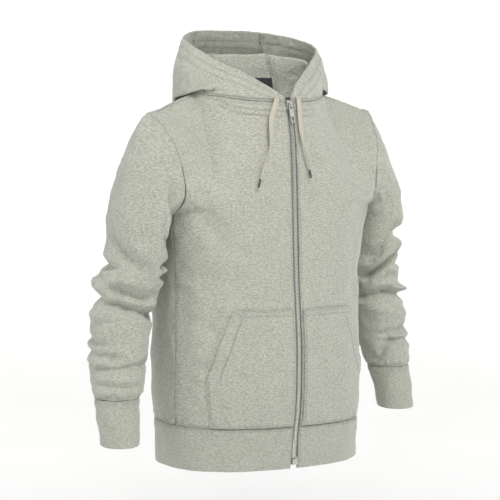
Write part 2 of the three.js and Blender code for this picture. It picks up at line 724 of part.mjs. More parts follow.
const body = block(-SLIDER_HALF, plateFront, SLIDER_FOOT, SLIDER_HALF, plateBack, SLIDER_HEAD)
  .subtract(slot(CHAIN_HALF + GRIP, chainFront - GRIP))
  .subtract(slot(SLIDER_HALF + 1, tapeFront - GRIP))
  .add(block(-1.2, plateFront + 0.5, POST_FOOT, 1.2, plateBack - 0.5, SLIDER_HEAD - 1))
  .add(
    block(-BAIL_HALF, PIN_Y - 2.2, -4.2, BAIL_HALF, plateFront + 0.3, 4.2).subtract(
      block(-BAIL_HALF - 1, PIN_Y - 1.1, -3.1, BAIL_HALF + 1, plateFront + 0.1, 3.1),
    ),
  );
add("zip_slider", shown(body), metal, slider);
const TAB_HALF = 3.4;
const tabBody = rod(PIN_RADIUS, -TAB_HALF, TAB_HALF, PIN_Y, 0)
  .add(block(-TAB_HALF, PIN_Y - PIN_RADIUS, -TAB_LENGTH, TAB_HALF, PIN_Y + PIN_RADIUS, 0))
  .subtract(block(-BAIL_HALF - 0.5, PIN_Y - 2, -6, BAIL_HALF + 0.5, PIN_Y + 2, -PIN_RADIUS))
  .subtract(block(-1.7, PIN_Y - 2, -TAB_LENGTH + 2.5, 1.7, PIN_Y + 2, -TAB_LENGTH + 9));
add("pull_tab", shown(tabBody), metal, slider);

// Retainer box at the foot of the chain
const foot = centreLine(CHAIN_FOOT_Z - 5);
const box = solid(new THREE.BoxGeometry(9, 6.4, 9));
const retainer = add("zip_box", shown(box), metal);
retainer.position.set(0, foot.y + 1.8, CHAIN_FOOT_Z - SEAM_GAP - 4.5);

// Drawcord: the two flat ends that hang out of the hood's hem, each with its tip. Each starts inside the
// hood's wall and is cut off at the wall's face, and a corner that reaches through the wall is dropped.
const CORDS = {
  right: [
    vec(-20, -76.5, -4.8),
    vec(-23.5, -84.5, -9),
    vec(-29, -89, -17),
    vec(-35.5, -92.5, -28),
    vec(-39.5, -95, -38),
    vec(-40.5, -97, -52),
    vec(-42.5, -99, -67),
    vec(-46.5, -100.5, -80),
    vec(-52.5, -101, -91),
    vec(-59, -101.5, -107),
    vec(-63, -102, -121),
  ],
  left: [
    vec(18, -76.6, -4.9),
    vec(15, -85, -9),
    vec(12.8, -89.5, -19),
    vec(11.6, -93.5, -35),
    vec(11.6, -96.5, -52),
    vec(12, -99, -66),
    vec(14.5, -100.5, -77),
    vec(17, -101, -86),
    vec(20, -101.5, -98),
    vec(22.5, -102, -110),
  ],
};
const CORD_STEPS = 16;
const CORD_GAP = 0.04; // between a cord and its tip, and between a cord and the hood
const TIP_LENGTH = 12;
const TIP_RADIUS = 1.6;
const cordSection = new THREE.Shape(
  Array.from({ length: 8 }, (_, k) => {
    const angle = (k + 0.5) * 45 * DEG;
    const size = (value, half) => Math.sign(value) * half * Math.min(1, Math.abs(value) * 1.35);
    return new THREE.Vector2(size(Math.cos(angle), CORD_WIDTH / 2), size(Math.sin(angle), CORD_DEPTH / 2));
  }),
);
for (const { side } of SIDES) {
  const route = CORDS[side];
  const path = new THREE.CatmullRomCurve3(route, false, "centripetal");
  const options = { steps: CORD_STEPS, extrudePath: path, bevelEnabled: false };
  const whole = solid(new THREE.ExtrudeGeometry(cordSection, options));
  const hoodWall = solid(hoodie.getObjectByName("hood_" + side).geometry.clone());
  const left = whole.subtract(hoodWall.translate(0, -CORD_GAP, 0)).decompose();
  const hanging = left.reduce((a, b) => (a.volume() > b.volume() ? a : b));
  add("drawcord_" + side, shown(hanging), cordCotton);
  const end = route[route.length - 1];
  const away = end.clone().sub(route[route.length - 2]).normalize();
  const tip = new THREE.CylinderGeometry(TIP_RADIUS, TIP_RADIUS, TIP_LENGTH, 8);
  tip.translate(0, TIP_LENGTH / 2 + CORD_GAP, 0);
  tip.applyQuaternion(new THREE.Quaternion().setFromUnitVectors(vec(0, 1, 0), away));
  tip.translate(end.x, end.y, end.z);
  add("cord_tip_" + side, shown(solid(tip)), metal);
}

export default hoodie;
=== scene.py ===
"""Looks of a youth's zip-up hooded sweatshirt in grey marl, filled out as if worn, with its hood down.

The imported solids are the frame. Each piece of cloth is a fine shell on its solid's form, with its creases,
sewn edges and stitches; the zip, the drawcord and the label are modelled at their real size. Sizes are in
millimetres in the tables and turned into metres where a mesh is made.
"""

from __future__ import annotations

import logging
import math
from dataclasses import dataclass, field
from enum import Enum

import bmesh
import bpy
import numpy as np
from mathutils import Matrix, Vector


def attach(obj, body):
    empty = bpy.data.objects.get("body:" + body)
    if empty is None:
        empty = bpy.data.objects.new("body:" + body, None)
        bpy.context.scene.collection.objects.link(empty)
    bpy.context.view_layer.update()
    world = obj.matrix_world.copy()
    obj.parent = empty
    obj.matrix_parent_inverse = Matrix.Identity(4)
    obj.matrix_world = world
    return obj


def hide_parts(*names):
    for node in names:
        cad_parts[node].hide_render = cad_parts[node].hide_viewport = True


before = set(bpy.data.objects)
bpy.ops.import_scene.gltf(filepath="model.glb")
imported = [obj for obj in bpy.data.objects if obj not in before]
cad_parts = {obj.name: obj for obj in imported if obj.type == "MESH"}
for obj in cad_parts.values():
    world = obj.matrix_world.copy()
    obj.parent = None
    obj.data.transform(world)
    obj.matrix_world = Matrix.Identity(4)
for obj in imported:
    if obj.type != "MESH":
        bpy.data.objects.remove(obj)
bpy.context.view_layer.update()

LOG = logging.getLogger("hoodie")
MM = 0.001
BODY = "garment"
TAB_BODY = "pull_tab"
UV_PER_MM = 0.1
# Name of the point attribute that holds the painted seam shade: how far the cloth's colour is darkened along
# its edges and stitch rows, where shade falls.
SEAM_SHADE = "seam_shade"
CLOTH = 2.2
RIB = 3.0
SEAM_GAP = 0.3
HALF_OPENING = 5.3
HEM_Z = -547.0
RIB_SEAM_Z = -484.0
UNDERARM_Z = -168.0
NECK_FRONT_Z = -13.0
SIDE_ANGLE = 78.0
CUFF_SEAM_Z = -428.0
CUFF_END_Z = -494.0
TUBE_START_Z = -192.0
HOOD_HEM = 3.4
THREAD_LIFT = 0.12
WAVE_PER_UNIT = 0.314
# Strength of the painted shade along a seamed edge and under a row of stitches.
EDGE_SHADE = 0.34
ROW_SHADE = 0.5
RIB_ROW_MM = 3.0
PANEL_ROW_MM = 3.4
SIDE_SEAM = (0.25, 1.8, (), 0.45, 0.35, 14.0)
HEM_SEAM = (0.45, 2.0, (RIB_ROW_MM,), 0.5, 0.5, 16.0)
HOOD_SEAM = (1.3, 2.2, (PANEL_ROW_MM,), 0.7, 0.4, 12.0)
WALE_MM = 1.25
COURSE_MM = 0.9

Amount = float | np.ndarray


class Side(Enum):
    """The wearer's side that a piece belongs to."""

    LEFT = "left"
    RIGHT = "right"

    @property
    def mirror(self) -> bool:
        """Whether the piece is turned over from the left side's points."""
        return self is Side.RIGHT


class Edge(Enum):
    """An edge of a piece of cloth, as its grid of points has it."""

    FOOT = "first row"
    HEAD = "last row"
    START = "first column"
    END = "last column"


def smooth(t: Amount) -> Amount:
    """Rises from 0 to 1 with level ends."""
    s = np.clip(t, 0.0, 1.0)
    return s * s * (3 - 2 * s)


def mix(a: Amount, b: Amount, t: Amount) -> Amount:
    """The value t of the way from a to b."""
    return a + (b - a) * t


def bell(distance: np.ndarray, width: float) -> np.ndarray:
    """A soft hump of height 1 that dies away past width."""
    return np.exp(-((distance / width) ** 2))


def unit(vectors: np.ndarray) -> np.ndarray:
    """The vectors at length 1."""
    return vectors / np.maximum(np.linalg.norm(vectors, axis=-1, keepdims=True), 1e-9)


def stack(x: Amount, y: Amount, z: Amount) -> np.ndarray:
    """Points from their three coordinates, which may be arrays or numbers."""
    return np.stack(np.broadcast_arrays(x, y, z), axis=-1).astype(float)


def eased(start: Amount, leave: Amount, end: Amount, arrive: Amount, t: Amount) -> np.ndarray:
    """A place t of the way along a curve that leaves its start and arrives at its end in given directions.

    Args:
        start: Where the curve starts.
        leave: Its direction there, as long as the curve is quick.
        end: Where it ends.
        arrive: Its direction there.
        t: From 0 at the start to 1 at the end.

    Returns:
        The place.
    """
    head = start * (2 * t**3 - 3 * t**2 + 1) + leave * (t**3 - 2 * t**2 + t)
    tail = end * (3 * t**2 - 2 * t**3) + arrive * (t**3 - t**2)
    return head + tail


def between(four: tuple, gaps: tuple, w: Amount) -> np.ndarray:
    """A place between the middle two of four points on the smooth line through them.

    Args:
        four: The points.
        gaps: The three knot distances from one to the next.
        w: From 0 at the second point to 1 at the third.

    Returns:
        The place.
    """
    x0, x1, x2, x3 = four
    d0, d1, d2 = gaps
    t1 = ((x1 - x0) / d0 - (x2 - x0) / (d0 + d1) + (x2 - x1) / d1) * d1
    t2 = ((x2 - x1) / d1 - (x3 - x1) / (d1 + d2) + (x3 - x2) / d2) * d1
    return x1 + t1 * w + (3 * (x2 - x1) - 2 * t1 - t2) * w**2 + (2 * (x1 - x2) + t1 + t2) * w**3


@dataclass(frozen=True)
class Table:
    """Rows of named columns, read by the first column with smooth values in between."""

    columns: str
    rows: tuple

    def at(self, key: Amount) -> np.ndarray:
        """Reads every column after the first.

        Args:
            key: Where to read, a number or an array.

        Returns:
            An array whose first axis is the column, so that it unpacks into values.
        """
        rows = np.array(self.rows, float)
        sign = -1.0 if rows[-1, 0] < rows[0, 0] else 1.0
        key = np.asarray(key, float)
        before = np.vstack([rows[:1], rows[:-1]])
        after = np.vstack([rows[1:], rows[-1:]])
        slope = (after - before) / (after[:, :1] - before[:, :1])
        i = np.searchsorted(sign * rows[1:-1, 0], sign * key, side="left")
        span = rows[i + 1, 0] - rows[i, 0]
        t = np.clip((key - rows[i, 0]) / span, 0, 1)[..., None]
        span = span[..., None]
        found = eased(rows[i], slope[i] * span, rows[i + 1], slope[i + 1] * span, t)
        return np.moveaxis(found[..., 1:], -1, 0)

    def point(self, key: Amount) -> np.ndarray:
        """Reads the columns x, y and z as points."""
        return np.moveaxis(self.at(key), 0, -1)


@dataclass(frozen=True)
class Crease:
    """A soft trough between two places on the cloth; a negative depth makes a ridge.

    It runs from (a0, b0) to (a1, b1), and fade is how far it dies away past its ends. Sizes are in mm.
    """

    a0: float
    b0: float
    a1: float
    b1: float
    depth: float
    width: float
    fade: float

    def height(self, a: np.ndarray, b: np.ndarray) -> np.ndarray:
        """How far the crease moves the cloth out, in mm, at the places (a, b).

        Args:
            a: The first coordinate of the places on the cloth.
            b: The second.

        Returns:
            The height at each place.
        """
        da, db = self.a1 - self.a0, self.b1 - self.b0
        long = math.hypot(da, db)
        share = np.clip(((a - self.a0) * da + (b - self.b0) * db) / long**2, 0, 1)
        off = np.hypot(a - self.a0 - share * da, b - self.b0 - share * db)
        side = np.abs((a - self.a0) * db - (b - self.b0) * da) / long
        past = np.sqrt(np.maximum(off**2 - side**2, 0))
        swell = np.sin(math.pi * np.clip(share, 0.06, 0.94)) ** 0.5
        valley = 0.7 * bell(side, self.width) + 0.3 * np.exp(-side / (0.55 * self.width))
        banks = 0.28 * (bell(side - 1.9 * self.width, self.width))
        return -self.depth * swell * (valley - banks) * bell(past, self.fade)


def ripple(points: np.ndarray, wavelength: float, height: float, seed: int) -> np.ndarray:
    """A smooth unevenness of the cloth, the same at the same place on every piece.

    Args:
        points: Places in mm.
        wavelength: Mean distance between two swells, in mm.
        height: Usual height of a swell, in mm.
        seed: Picks the pattern.

    Returns:
        The height at each place, in mm.
    """
    rng = np.random.default_rng(seed)
    total = np.zeros(points.shape[:-1])
    waves = 9
    for _ in range(waves):
        way = unit(rng.normal(size=3)) * (2 * math.pi / wavelength) * rng.uniform(0.6, 1.5)
        total += np.sin(points @ way + rng.uniform(0, 2 * math.pi))
    return height * total / math.sqrt(waves / 2)


def crumple(points: np.ndarray, wavelength: float, height: float, seed: int) -> np.ndarray:
    """Fine creases that wander across the cloth in patches, mostly level.

    Args:
        points: Places in mm.
        wavelength: Mean distance between two creases, in mm.
        height: Depth of a crease, in mm.
        seed: Picks the pattern.

    Returns:
        The height at each place, in mm.
    """
    level = points * np.array([0.55, 0.55, 1.35])
    line = bell(ripple(level, wavelength, 1.0, seed), 0.3)
    patches = smooth(0.5 + 0.5 * ripple(points, 2.4 * wavelength, 1.0, seed + 7))
    return -height * line * patches


@dataclass(frozen=True)
class Seam:
    """How the cloth is sewn along one of its edges.

    The cloth turns down by dip within width of the edge. Each row of stitches lies in a groove at its own
    distance from the edge, and puckers of a height spread over reach. Sizes are in mm.
    """

    edge: Edge
    dip: float
    width: float
    rows: tuple
    groove: float
    pucker: float
    reach: float


class Patch:
    """One piece of cloth as a grid of points on its outside, in mm, with its sizes along the cloth and its
    painted seam shade.
    """

    def __init__(self, points: np.ndarray, ring: bool = False, flip: bool = False) -> None:
        """Takes the grid.

        Args:
            points: Rows by columns by 3.
            ring: Whether the last column joins the first.
            flip: Whether the grid's outside is its other face.
        """
        self.points = points
        self.ring = ring
        self.flip = flip
        step_v = np.linalg.norm(np.diff(points, axis=0), axis=2)
        self.v = np.vstack([np.zeros((1, points.shape[1])), np.cumsum(step_v, axis=0)])
        closed = np.concatenate([points, points[:, :1]], axis=1) if ring else points
        step_u = np.linalg.norm(np.diff(closed, axis=1), axis=2)
        self.u = np.hstack([np.zeros((points.shape[0], 1)), np.cumsum(step_u, axis=1)])
        # Painted seam shade at each point, from 0 to 1: how much the colour is darkened at seams and stitch
        # rows.
        self.seam_shade = np.zeros(points.shape[:2])

    def inward(self) -> np.ndarray:
        """The direction into the cloth at each point.

        Returns:
            One unit vector for each point.
        """
        p = self.points
        ahead = np.concatenate([p[1:], p[-1:]], axis=0)
        behind = np.concatenate([p[:1], p[:-1]], axis=0)
        if self.ring:
            right, left = np.roll(p, -1, axis=1), np.roll(p, 1, axis=1)
        else:
            right = np.concatenate([p[:, 1:], p[:, -1:]], axis=1)
            left = np.concatenate([p[:, :1], p[:, :-1]], axis=1)
        normal = unit(np.cross(right - left, ahead - behind))
        return normal if self.flip else -normal

    def from_edge(self, edge: Edge) -> np.ndarray:
        """The distance of each point from an edge, along the cloth, in mm.

        Args:
            edge: The edge that it is measured from.

        Returns:
            One number for each point.
        """
        width = self.points.shape[1]
        return {
            Edge.FOOT: self.v,
            Edge.HEAD: self.v[-1:] - self.v,
            Edge.START: self.u[:, :width],
            Edge.END: self.u[:, -1:] - self.u[:, :width],
        }[edge]

    def push(self, height: np.ndarray) -> None:
        """Moves each point out of the cloth by a height in mm."""
        self.points = self.points - self.inward() * height[..., None]

    def sew(self, seams: tuple[Seam, ...], seed: int) -> None:
        """Turns the cloth down into its seams, with grooves under the stitches and small puckers, and paints
        shade along its edges and stitch rows.

        Args:
            seams: How it is sewn along its edges.
            seed: Picks the pattern of the puckers.
        """
        height = np.zeros(self.points.shape[:2])
        for k, seam in enumerate(seams):
            away = self.from_edge(seam.edge)
            height -= seam.dip * bell(away, seam.width)
            # Painted shade along the seamed edge.
            self.seam_shade = np.maximum(self.seam_shade, EDGE_SHADE * bell(away, 1.2))
            for row in seam.rows:
                height -= seam.groove * bell(away - row, 1.1)
                height += 0.5 * seam.groove * bell(away - row - 2.6, 1.5)
                # Painted shade under the row of stitches.
                self.seam_shade = np.maximum(self.seam_shade, ROW_SHADE * bell(away - row, 0.9))
            wave = ripple(self.points, 13.0, 1.0, seed + k)
            wave += 0.6 * ripple(self.points, 7.0, 1.0, seed + k + 50)
            height += seam.pucker * wave * bell(away - 0.35 * seam.reach, 0.5 * seam.reach)
        self.push(height)

    def line(self, edge: Edge, distance: Amount, lift: float, trim: tuple = (0.0, 0.0)) -> np.ndarray:
        """A line that keeps a distance from an edge.

        Args:
            edge: The edge that it follows.
            distance: How far from it, in mm, a number or one for each place along the edge.
            lift: How far above the cloth, in mm.
            trim: Shares of the line left off at its two ends.

        Returns:
            Its points, in mm.
        """
        away = self.from_edge(edge)
        surface = self.points - self.inward() * lift
        if edge in (Edge.FOOT, Edge.HEAD):
            away, surface = away.T, surface.transpose(1, 0, 2)
        if edge in (Edge.HEAD, Edge.END):
            away, surface = away[:, ::-1], surface[:, ::-1]
        found = []
        for d, row, reach in zip(away, surface, np.broadcast_to(distance, len(away))):
            found.append([np.interp(reach, d, row[:, k]) for k in range(3)])
        first, last = int(trim[0] * len(found)), len(found) - int(trim[1] * len(found))
        found = np.array(found)[first:last]
        closed = self.ring and edge in (Edge.FOOT, Edge.HEAD)
        return np.vstack([found, found[:1]]) if closed else found

    def shell(self, node: str, thickness: Amount, shift: tuple, anchor: tuple = (0, 0)) -> bpy.types.Object:
        """Makes the cloth a closed shell with round edges, carrying its painted seam shade as a point
        attribute.

        Args:
            node: The solid that it stands for.
            thickness: In mm, a number or one for each row.
            shift: Moves the piece's place in the knit, so that no two pieces repeat.
            anchor: The row and column along which the knit runs straight.

        Returns:
            The new object, in metres.
        """
        rows, cols = self.points.shape[:2]
        inward = self.inward()
        thick = np.broadcast_to(np.reshape(thickness, (-1, 1)), (rows, cols))
        edges = [Edge.FOOT, Edge.HEAD] + ([] if self.ring else [Edge.START, Edge.END])
        away = np.minimum.reduce([self.from_edge(e) for e in edges])
        radius = thick / 2
        inset = np.maximum(radius - away, 0)
        drop = radius - np.sqrt(np.maximum(radius**2 - inset**2, 0))
        outer = self.points + inward * drop[..., None]
        inner = self.points + inward * (thick - drop)[..., None]
        grid = np.arange(rows * cols).reshape(rows, cols)
        border = np.zeros((rows, cols), bool)
        border[[0, -1]] = True
        if not self.ring:
            border[:, [0, -1]] = True
        within = np.where(border, grid, 0)
        within[~border] = rows * cols + np.arange((~border).sum())
        vertices = np.vstack([outer.reshape(-1, 3), inner[~border]]) * MM
        columns = np.arange(cols if self.ring else cols - 1)
        i, j = np.meshgrid(np.arange(rows - 1), columns, indexing="ij")
        j1 = (j + 1) % cols

        def quads(ids: np.ndarray, turned: bool) -> np.ndarray:
            """The faces between four neighbours of the grid."""
            corners = [ids[i, j], ids[i, j1], ids[i + 1, j1], ids[i + 1, j]]
            return np.stack(corners[::-1] if turned else corners, axis=-1).reshape(-1, 4)

        uv_j1 = j + 1 if self.ring else j1
        row, col = anchor
        u = np.broadcast_to(self.u.mean(0), self.u.shape) if self.ring else self.u - self.u[:, col : col + 1]
        u, v = u * UV_PER_MM + shift[0], (self.v - self.v[row]) * UV_PER_MM + shift[1]

        def places(turned: bool) -> np.ndarray:
            """The place in the knit of each corner of each face.

            Args:
                turned: Whether the corners come in reverse order.

            Returns:
                Two numbers for each corner.
            """
            corners = [
                (u[i, j], v[i, j]),
                (u[i, uv_j1], v[i, j1]),
                (u[i + 1, uv_j1], v[i + 1, j1]),
                (u[i + 1, j], v[i + 1, j]),
            ]
            corners = corners[::-1] if turned else corners
            return np.stack([np.stack(c, axis=-1) for c in corners], axis=2).reshape(-1, 2)

        faces = np.vstack([quads(grid, self.flip), quads(within, not self.flip)])
        uv = np.vstack([places(self.flip), places(not self.flip)])
        made = mesh_object(node + "_cloth", vertices, faces, uv)
        # The painted seam shade goes on the mesh as a point attribute for the cloth's material.
        shade_marks = made.data.attributes.new(SEAM_SHADE, "FLOAT", "POINT")
        seam_shading = np.concatenate([self.seam_shade.ravel(), self.seam_shade[~border]])
        shade_marks.data.foreach_set("value", seam_shading.astype(np.float32))
        return made


def placed(name: str, data: bpy.types.ID) -> bpy.types.Object:
    """A new object with this data, in the scene.

    Args:
        name: The object's name.
        data: Its mesh, camera or lamp.

    Returns:
        The object.
    """
    made = bpy.data.objects.new(name, data)
    bpy.context.scene.collection.objects.link(made)
    return made


def worked_out(made: bpy.types.Object) -> bpy.types.Mesh:
    """The plain mesh that an object's modifiers make of it.

    Args:
        made: The object.

    Returns:
        A new mesh.
    """
    bpy.context.view_layer.update()
    graph = bpy.context.evaluated_depsgraph_get()
    return bpy.data.meshes.new_from_object(made.evaluated_get(graph), depsgraph=graph)


def mesh_object(
    name: str, vertices: np.ndarray, faces: list, uv: np.ndarray | None = None, smooth_shade: bool = True
) -> bpy.types.Object:
    """A new mesh object at the origin, in the scene.

    Args:
        name: The piece's name.
        vertices: In metres.
        faces: One row of vertex numbers for each face.
        uv: One place for each corner of each face.
        smooth_shade: Whether its faces are shaded smooth.

    Returns:
        The object.
    """
    mesh = bpy.data.meshes.new(name)
    corners = [tuple(int(k) for k in face) for face in faces]
    mesh.from_pydata([tuple(v) for v in np.asarray(vertices, float)], [], corners)
    if uv is not None:
        layer = mesh.uv_layers.new(name="knit")
        layer.data.foreach_set("uv", np.asarray(uv, np.float32).ravel())
    mesh.polygons.foreach_set("use_smooth", [smooth_shade] * len(mesh.polygons))
    mesh.update()
    return placed(name, mesh)


def tube_faces(rings: int, around: int, turned: bool = False) -> list[tuple]:
    """The faces between rings of points that follow one another.

    Args:
        rings: How many rings.
        around: Points in each ring.
        turned: Whether the faces look to the other side.

    Returns:
        Four point numbers for each face.
    """
    faces = []
    for r in range(0, (rings - 1) * around, around):
        for k in range(around):
            n = (k + 1) % around
            corners = (r + k, r + n, r + around + n, r + around + k)
            faces.append((corners[0], *corners[:0:-1]) if turned else corners)
    return faces


def tube_ends(rings: int, around: int) -> list[tuple]:
    """The faces that close a tube's two ends round two last points, one at the middle of each end.

    Args:
        rings: How many rings.
        around: Points in each ring.

    Returns:
        Three point numbers for each face.
    """
    first, base = rings * around, (rings - 1) * around
    faces = []
    for k in range(around):
        n = (k + 1) % around
        faces += [(first, n, k), (first + 1, base + k, base + n)]
    return faces


def spread(count: int, length: float) -> np.ndarray:
    """Shares of a length from 0 to 1, closer together at its ends where the cloth's edge is rounded.

    Args:
        count: How many even steps.
        length: The real length in mm.

    Returns:
        The shares, rising.
    """
    even = np.linspace(0, 1, count + 1)
    near = np.array([0.12, 0.35, 0.7, 1.2, 1.9, 2.8, 4.2]) / length
    kept = even[(even > near[-1] * 1.2) & (even < 1 - near[-1] * 1.2)]
    return np.concatenate([[0.0], near, kept, 1 - near[::-1], [1.0]])


def net(rows: tuple[int, float], cols: tuple[int, float]) -> tuple[np.ndarray, ...]:
    """Shares of a piece's two sizes at every point of its grid.

    Args:
        rows: How many even steps up the piece, and its length in mm.
        cols: How many across it, and its width in mm.

    Returns:
        The shares up it and the shares across it.
    """
    return tuple(np.meshgrid(spread(*rows), spread(*cols), indexing="ij"))


def full_turn(count: int) -> np.ndarray:
    """Angles all round in even steps, in radians."""
    return np.arange(count) * 2 * math.pi / count


def mirrored(points: np.ndarray, side: Side) -> np.ndarray:
    """The points on their own side of the garment."""
    return points * np.array([-1.0, 1.0, 1.0]) if side.mirror else points


@dataclass(frozen=True)
class Trunk:
    """The form of the body: sections up to the underarm, then a yoke between neck, shoulder and armhole."""

    sections: Table = Table(
        "z halfWidth front back squareness",
        (
            (-547, 164.5, 98, 91, 2.4),
            (-512, 164.5, 100.5, 94, 2.4),
            (-484, 164, 104, 99, 2.4),
            (-460, 165.5, 108, 106, 2.4),
            (-420, 165.5, 110.5, 111, 2.4),
            (-364, 164, 110.5, 112, 2.4),
            (-310, 162.5, 106.5, 112, 2.4),
            (-267, 163, 103, 108, 2.45),
            (-220, 167, 101, 105, 2.75),
            (-168, 172.5, 99, 103, 3.3),
        ),
    )
    centre_front: Table = Table(
        "z y", ((-168, -99), (-153, -98.5), (-110, -96.5), (-66, -93), (-35, -87.5), (-5, -80))
    )
    centre_back: Table = Table(
        "z y", ((-168, 103), (-140, 101.5), (-100, 94), (-60, 78), (-30, 58), (-12, 38))
    )
    neck: Table = Table(
        "s x y z",
        (
            (0, 5.3, -82, -13),
            (0.14, 38, -76, -12),
            (0.28, 70, -58, -9),
            (0.42, 98, -32, -4),
            (0.54, 113, 0, 0),
            (0.65, 106, 20, -3),
            (0.78, 76, 32, -8),
            (0.89, 40, 37, -11),
            (1, 0, 38, -12),
        ),
    )
    armhole_front: tuple = (
        (0.12, 170, -58, -161),
        (0.26, 168, -71, -142),
        (0.5, 172, -70, -104),
        (0.7, 179, -61, -72),
        (0.86, 186, -41, -46),
        (1, 195, -15, -26),
    )
    armhole_back: tuple = (
        (0.12, 169.5, 0, -167),
        (0.26, 168, 34, -150),
        (0.5, 172, 52, -108),
        (0.7, 180, 46, -72),
        (0.86, 187, 24, -45),
        (1, 195, -15, -26),
    )
    shoulder_point: tuple = (195.0, -15.0, -26.0)
    shoulder_at: float = 0.54
    neck_share: float = 0.5
    arm_pull: float = 1.8
    yoke_from: float = 12 / 23
    sag: float = 0.05

    def body_point(self, angle: Amount, z: Amount, swell: Amount = 0.0) -> np.ndarray:
        """A place on the body below the underarm.

        Args:
            angle: In degrees, from 0 at the centre front to 180 at the centre back.
            z: The height in mm.
            swell: How far outside the form, in mm.

        Returns:
            The place, in mm.
        """
        half_width, front, back, squareness = self.sections.at(z)
        sine, cosine = np.sin(np.radians(angle)), np.cos(np.radians(angle))
        depth = np.where(cosine > 0, -front, back)
        power = 2 / squareness
        x, y = half_width * np.abs(sine) ** power, depth * np.abs(cosine) ** power
        long = np.maximum(np.hypot(x, y), 1e-9)
        return stack(x * (1 + swell / long), y * (1 + swell / long), z)

    def angle_of(self, x: Amount, z: Amount) -> np.ndarray:
        """The angle at which the front reaches a distance from the centre."""
        half_width, _, _, squareness = self.sections.at(z)
        return np.degrees(np.arcsin((x / half_width) ** (squareness / 2)))

    def armhole_edge(self, back: bool) -> Table:
        """The armhole's edge from the underarm up to the shoulder point."""
        x, y, z = self.body_point(SIDE_ANGLE, UNDERARM_Z)
        return Table("v x y z", ((0.0, x, y, z), *(self.armhole_back if back else self.armhole_front)))

    def top_edge(self, back: bool, c: np.ndarray) -> np.ndarray:
        """The upper edge of a front or back: the neck seam, then the shoulder seam.

        Args:
            back: Whether it is the back.
            c: Share of the width, from the centre to the armhole.

        Returns:
            Places on the edge, in mm.
        """
        shoulder = self.neck.point(self.shoulder_at)
        past_neck = (c - self.neck_share) / (1 - self.neck_share)
        outer = mix(shoulder, np.array(self.shoulder_point), past_neck[..., None])
        along_neck = np.minimum(c / self.neck_share, 1)
        inner = self.neck.point(mix(1.0 if back else 0.0, self.shoulder_at, along_neck))
        return np.where((c >= self.neck_share)[..., None], outer, inner)

    def panel_angle(self, back: bool, c: Amount, z: Amount) -> np.ndarray:
        """The angle of a place at share c of a panel's width."""
        return mix(180.0 if back else self.angle_of(HALF_OPENING, z), SIDE_ANGLE, c)

    def yoke_point(self, back: bool, c: np.ndarray, v: np.ndarray) -> np.ndarray:
        """A place above the underarm, blended from the four edges of that area.

        Args:
            back: Whether it is on the back.
            c: Share of the width, from the centre to the armhole.
            v: Share of the way from the underarm up to the upper edge.

        Returns:
            The place, in mm.
        """
        s = smooth(v)[..., None]
        zero = np.zeros_like(c)
        under = UNDERARM_Z + zero

        def rise(foot: np.ndarray, head: np.ndarray) -> np.ndarray:
            """From the underarm's line up to the upper edge."""
            return mix(foot, head, s)

        head_centre = self.top_edge(back, zero)
        point = rise(self.body_point(self.panel_angle(back, c, under), under), self.top_edge(back, c))
        at_centre = rise(self.body_point(self.panel_angle(back, zero, under), under), head_centre)
        at_arm = rise(self.body_point(SIDE_ANGLE + zero, under), self.top_edge(back, zero + 1))
        z = mix(UNDERARM_Z, head_centre[..., 2], v)
        line = self.centre_back if back else self.centre_front
        centre = stack(0.0 if back else HALF_OPENING, line.at(z)[0], z)
        arm = self.armhole_edge(back).point(v)
        to_centre = (centre - at_centre) * (1 - c)[..., None]
        return point + to_centre + (arm - at_arm) * (c**self.arm_pull)[..., None]

    def panel_point(self, back: bool, c: np.ndarray, h: np.ndarray) -> np.ndarray:
        """Any place of a front or back.

        Args:
            back: Whether it is on the back.
            c: Share of the width, from the centre to the armhole.
            h: From 0 at the rib seam to 1 at the upper edge.

        Returns:
            The place, in mm.
        """
        z = mix(RIB_SEAM_Z + SEAM_GAP, UNDERARM_Z, np.minimum(h / self.yoke_from, 1))
        low = self.body_point(self.panel_angle(back, c, z), z)
        high = self.yoke_point(back, c, np.maximum((h - self.yoke_from) / (1 - self.yoke_from), 0))
        return np.where((h > self.yoke_from)[..., None], high, low)

    def settled(self, points: np.ndarray) -> np.ndarray:
        """The points with the body hanging a little lower on the wearer's left."""
        low = -self.sag * points[..., 0] * smooth((-200 - points[..., 2]) / 160)
        return points + stack(0.0, 0.0, low)

    def centre_line(self, z: Amount) -> np.ndarray:
        """The line down the middle where the fronts meet.

        Args:
            z: The height in mm.

        Returns:
            The place, in mm.
        """
        z = np.asarray(z, float)
        y = np.where(z <= UNDERARM_Z, -self.sections.at(z)[1], self.centre_front.at(z)[0])
        return stack(0.0, y, z)

    def centre_out(self, z: Amount) -> np.ndarray:
        """The direction out of the cloth on that line."""
        rise = unit(self.centre_line(np.asarray(z) + 2) - self.centre_line(np.asarray(z) - 2))
        return stack(0.0, -rise[..., 2], rise[..., 1])

    def armhole(self, turn: Amount) -> np.ndarray:
        """A place on the armhole's edge.

        Args:
            turn: In degrees, 0 at the shoulder point and 180 at the underarm, by way of the front.

        Returns:
            The place, in mm.
        """
        t = np.asarray(turn, float) % 360
        front = self.armhole_edge(False).point(np.clip(1 - t / 180, 0, 1))
        back = self.armhole_edge(True).point(np.clip(t / 180 - 1, 0, 1))
        return np.where((t <= 180)[..., None], front, back)


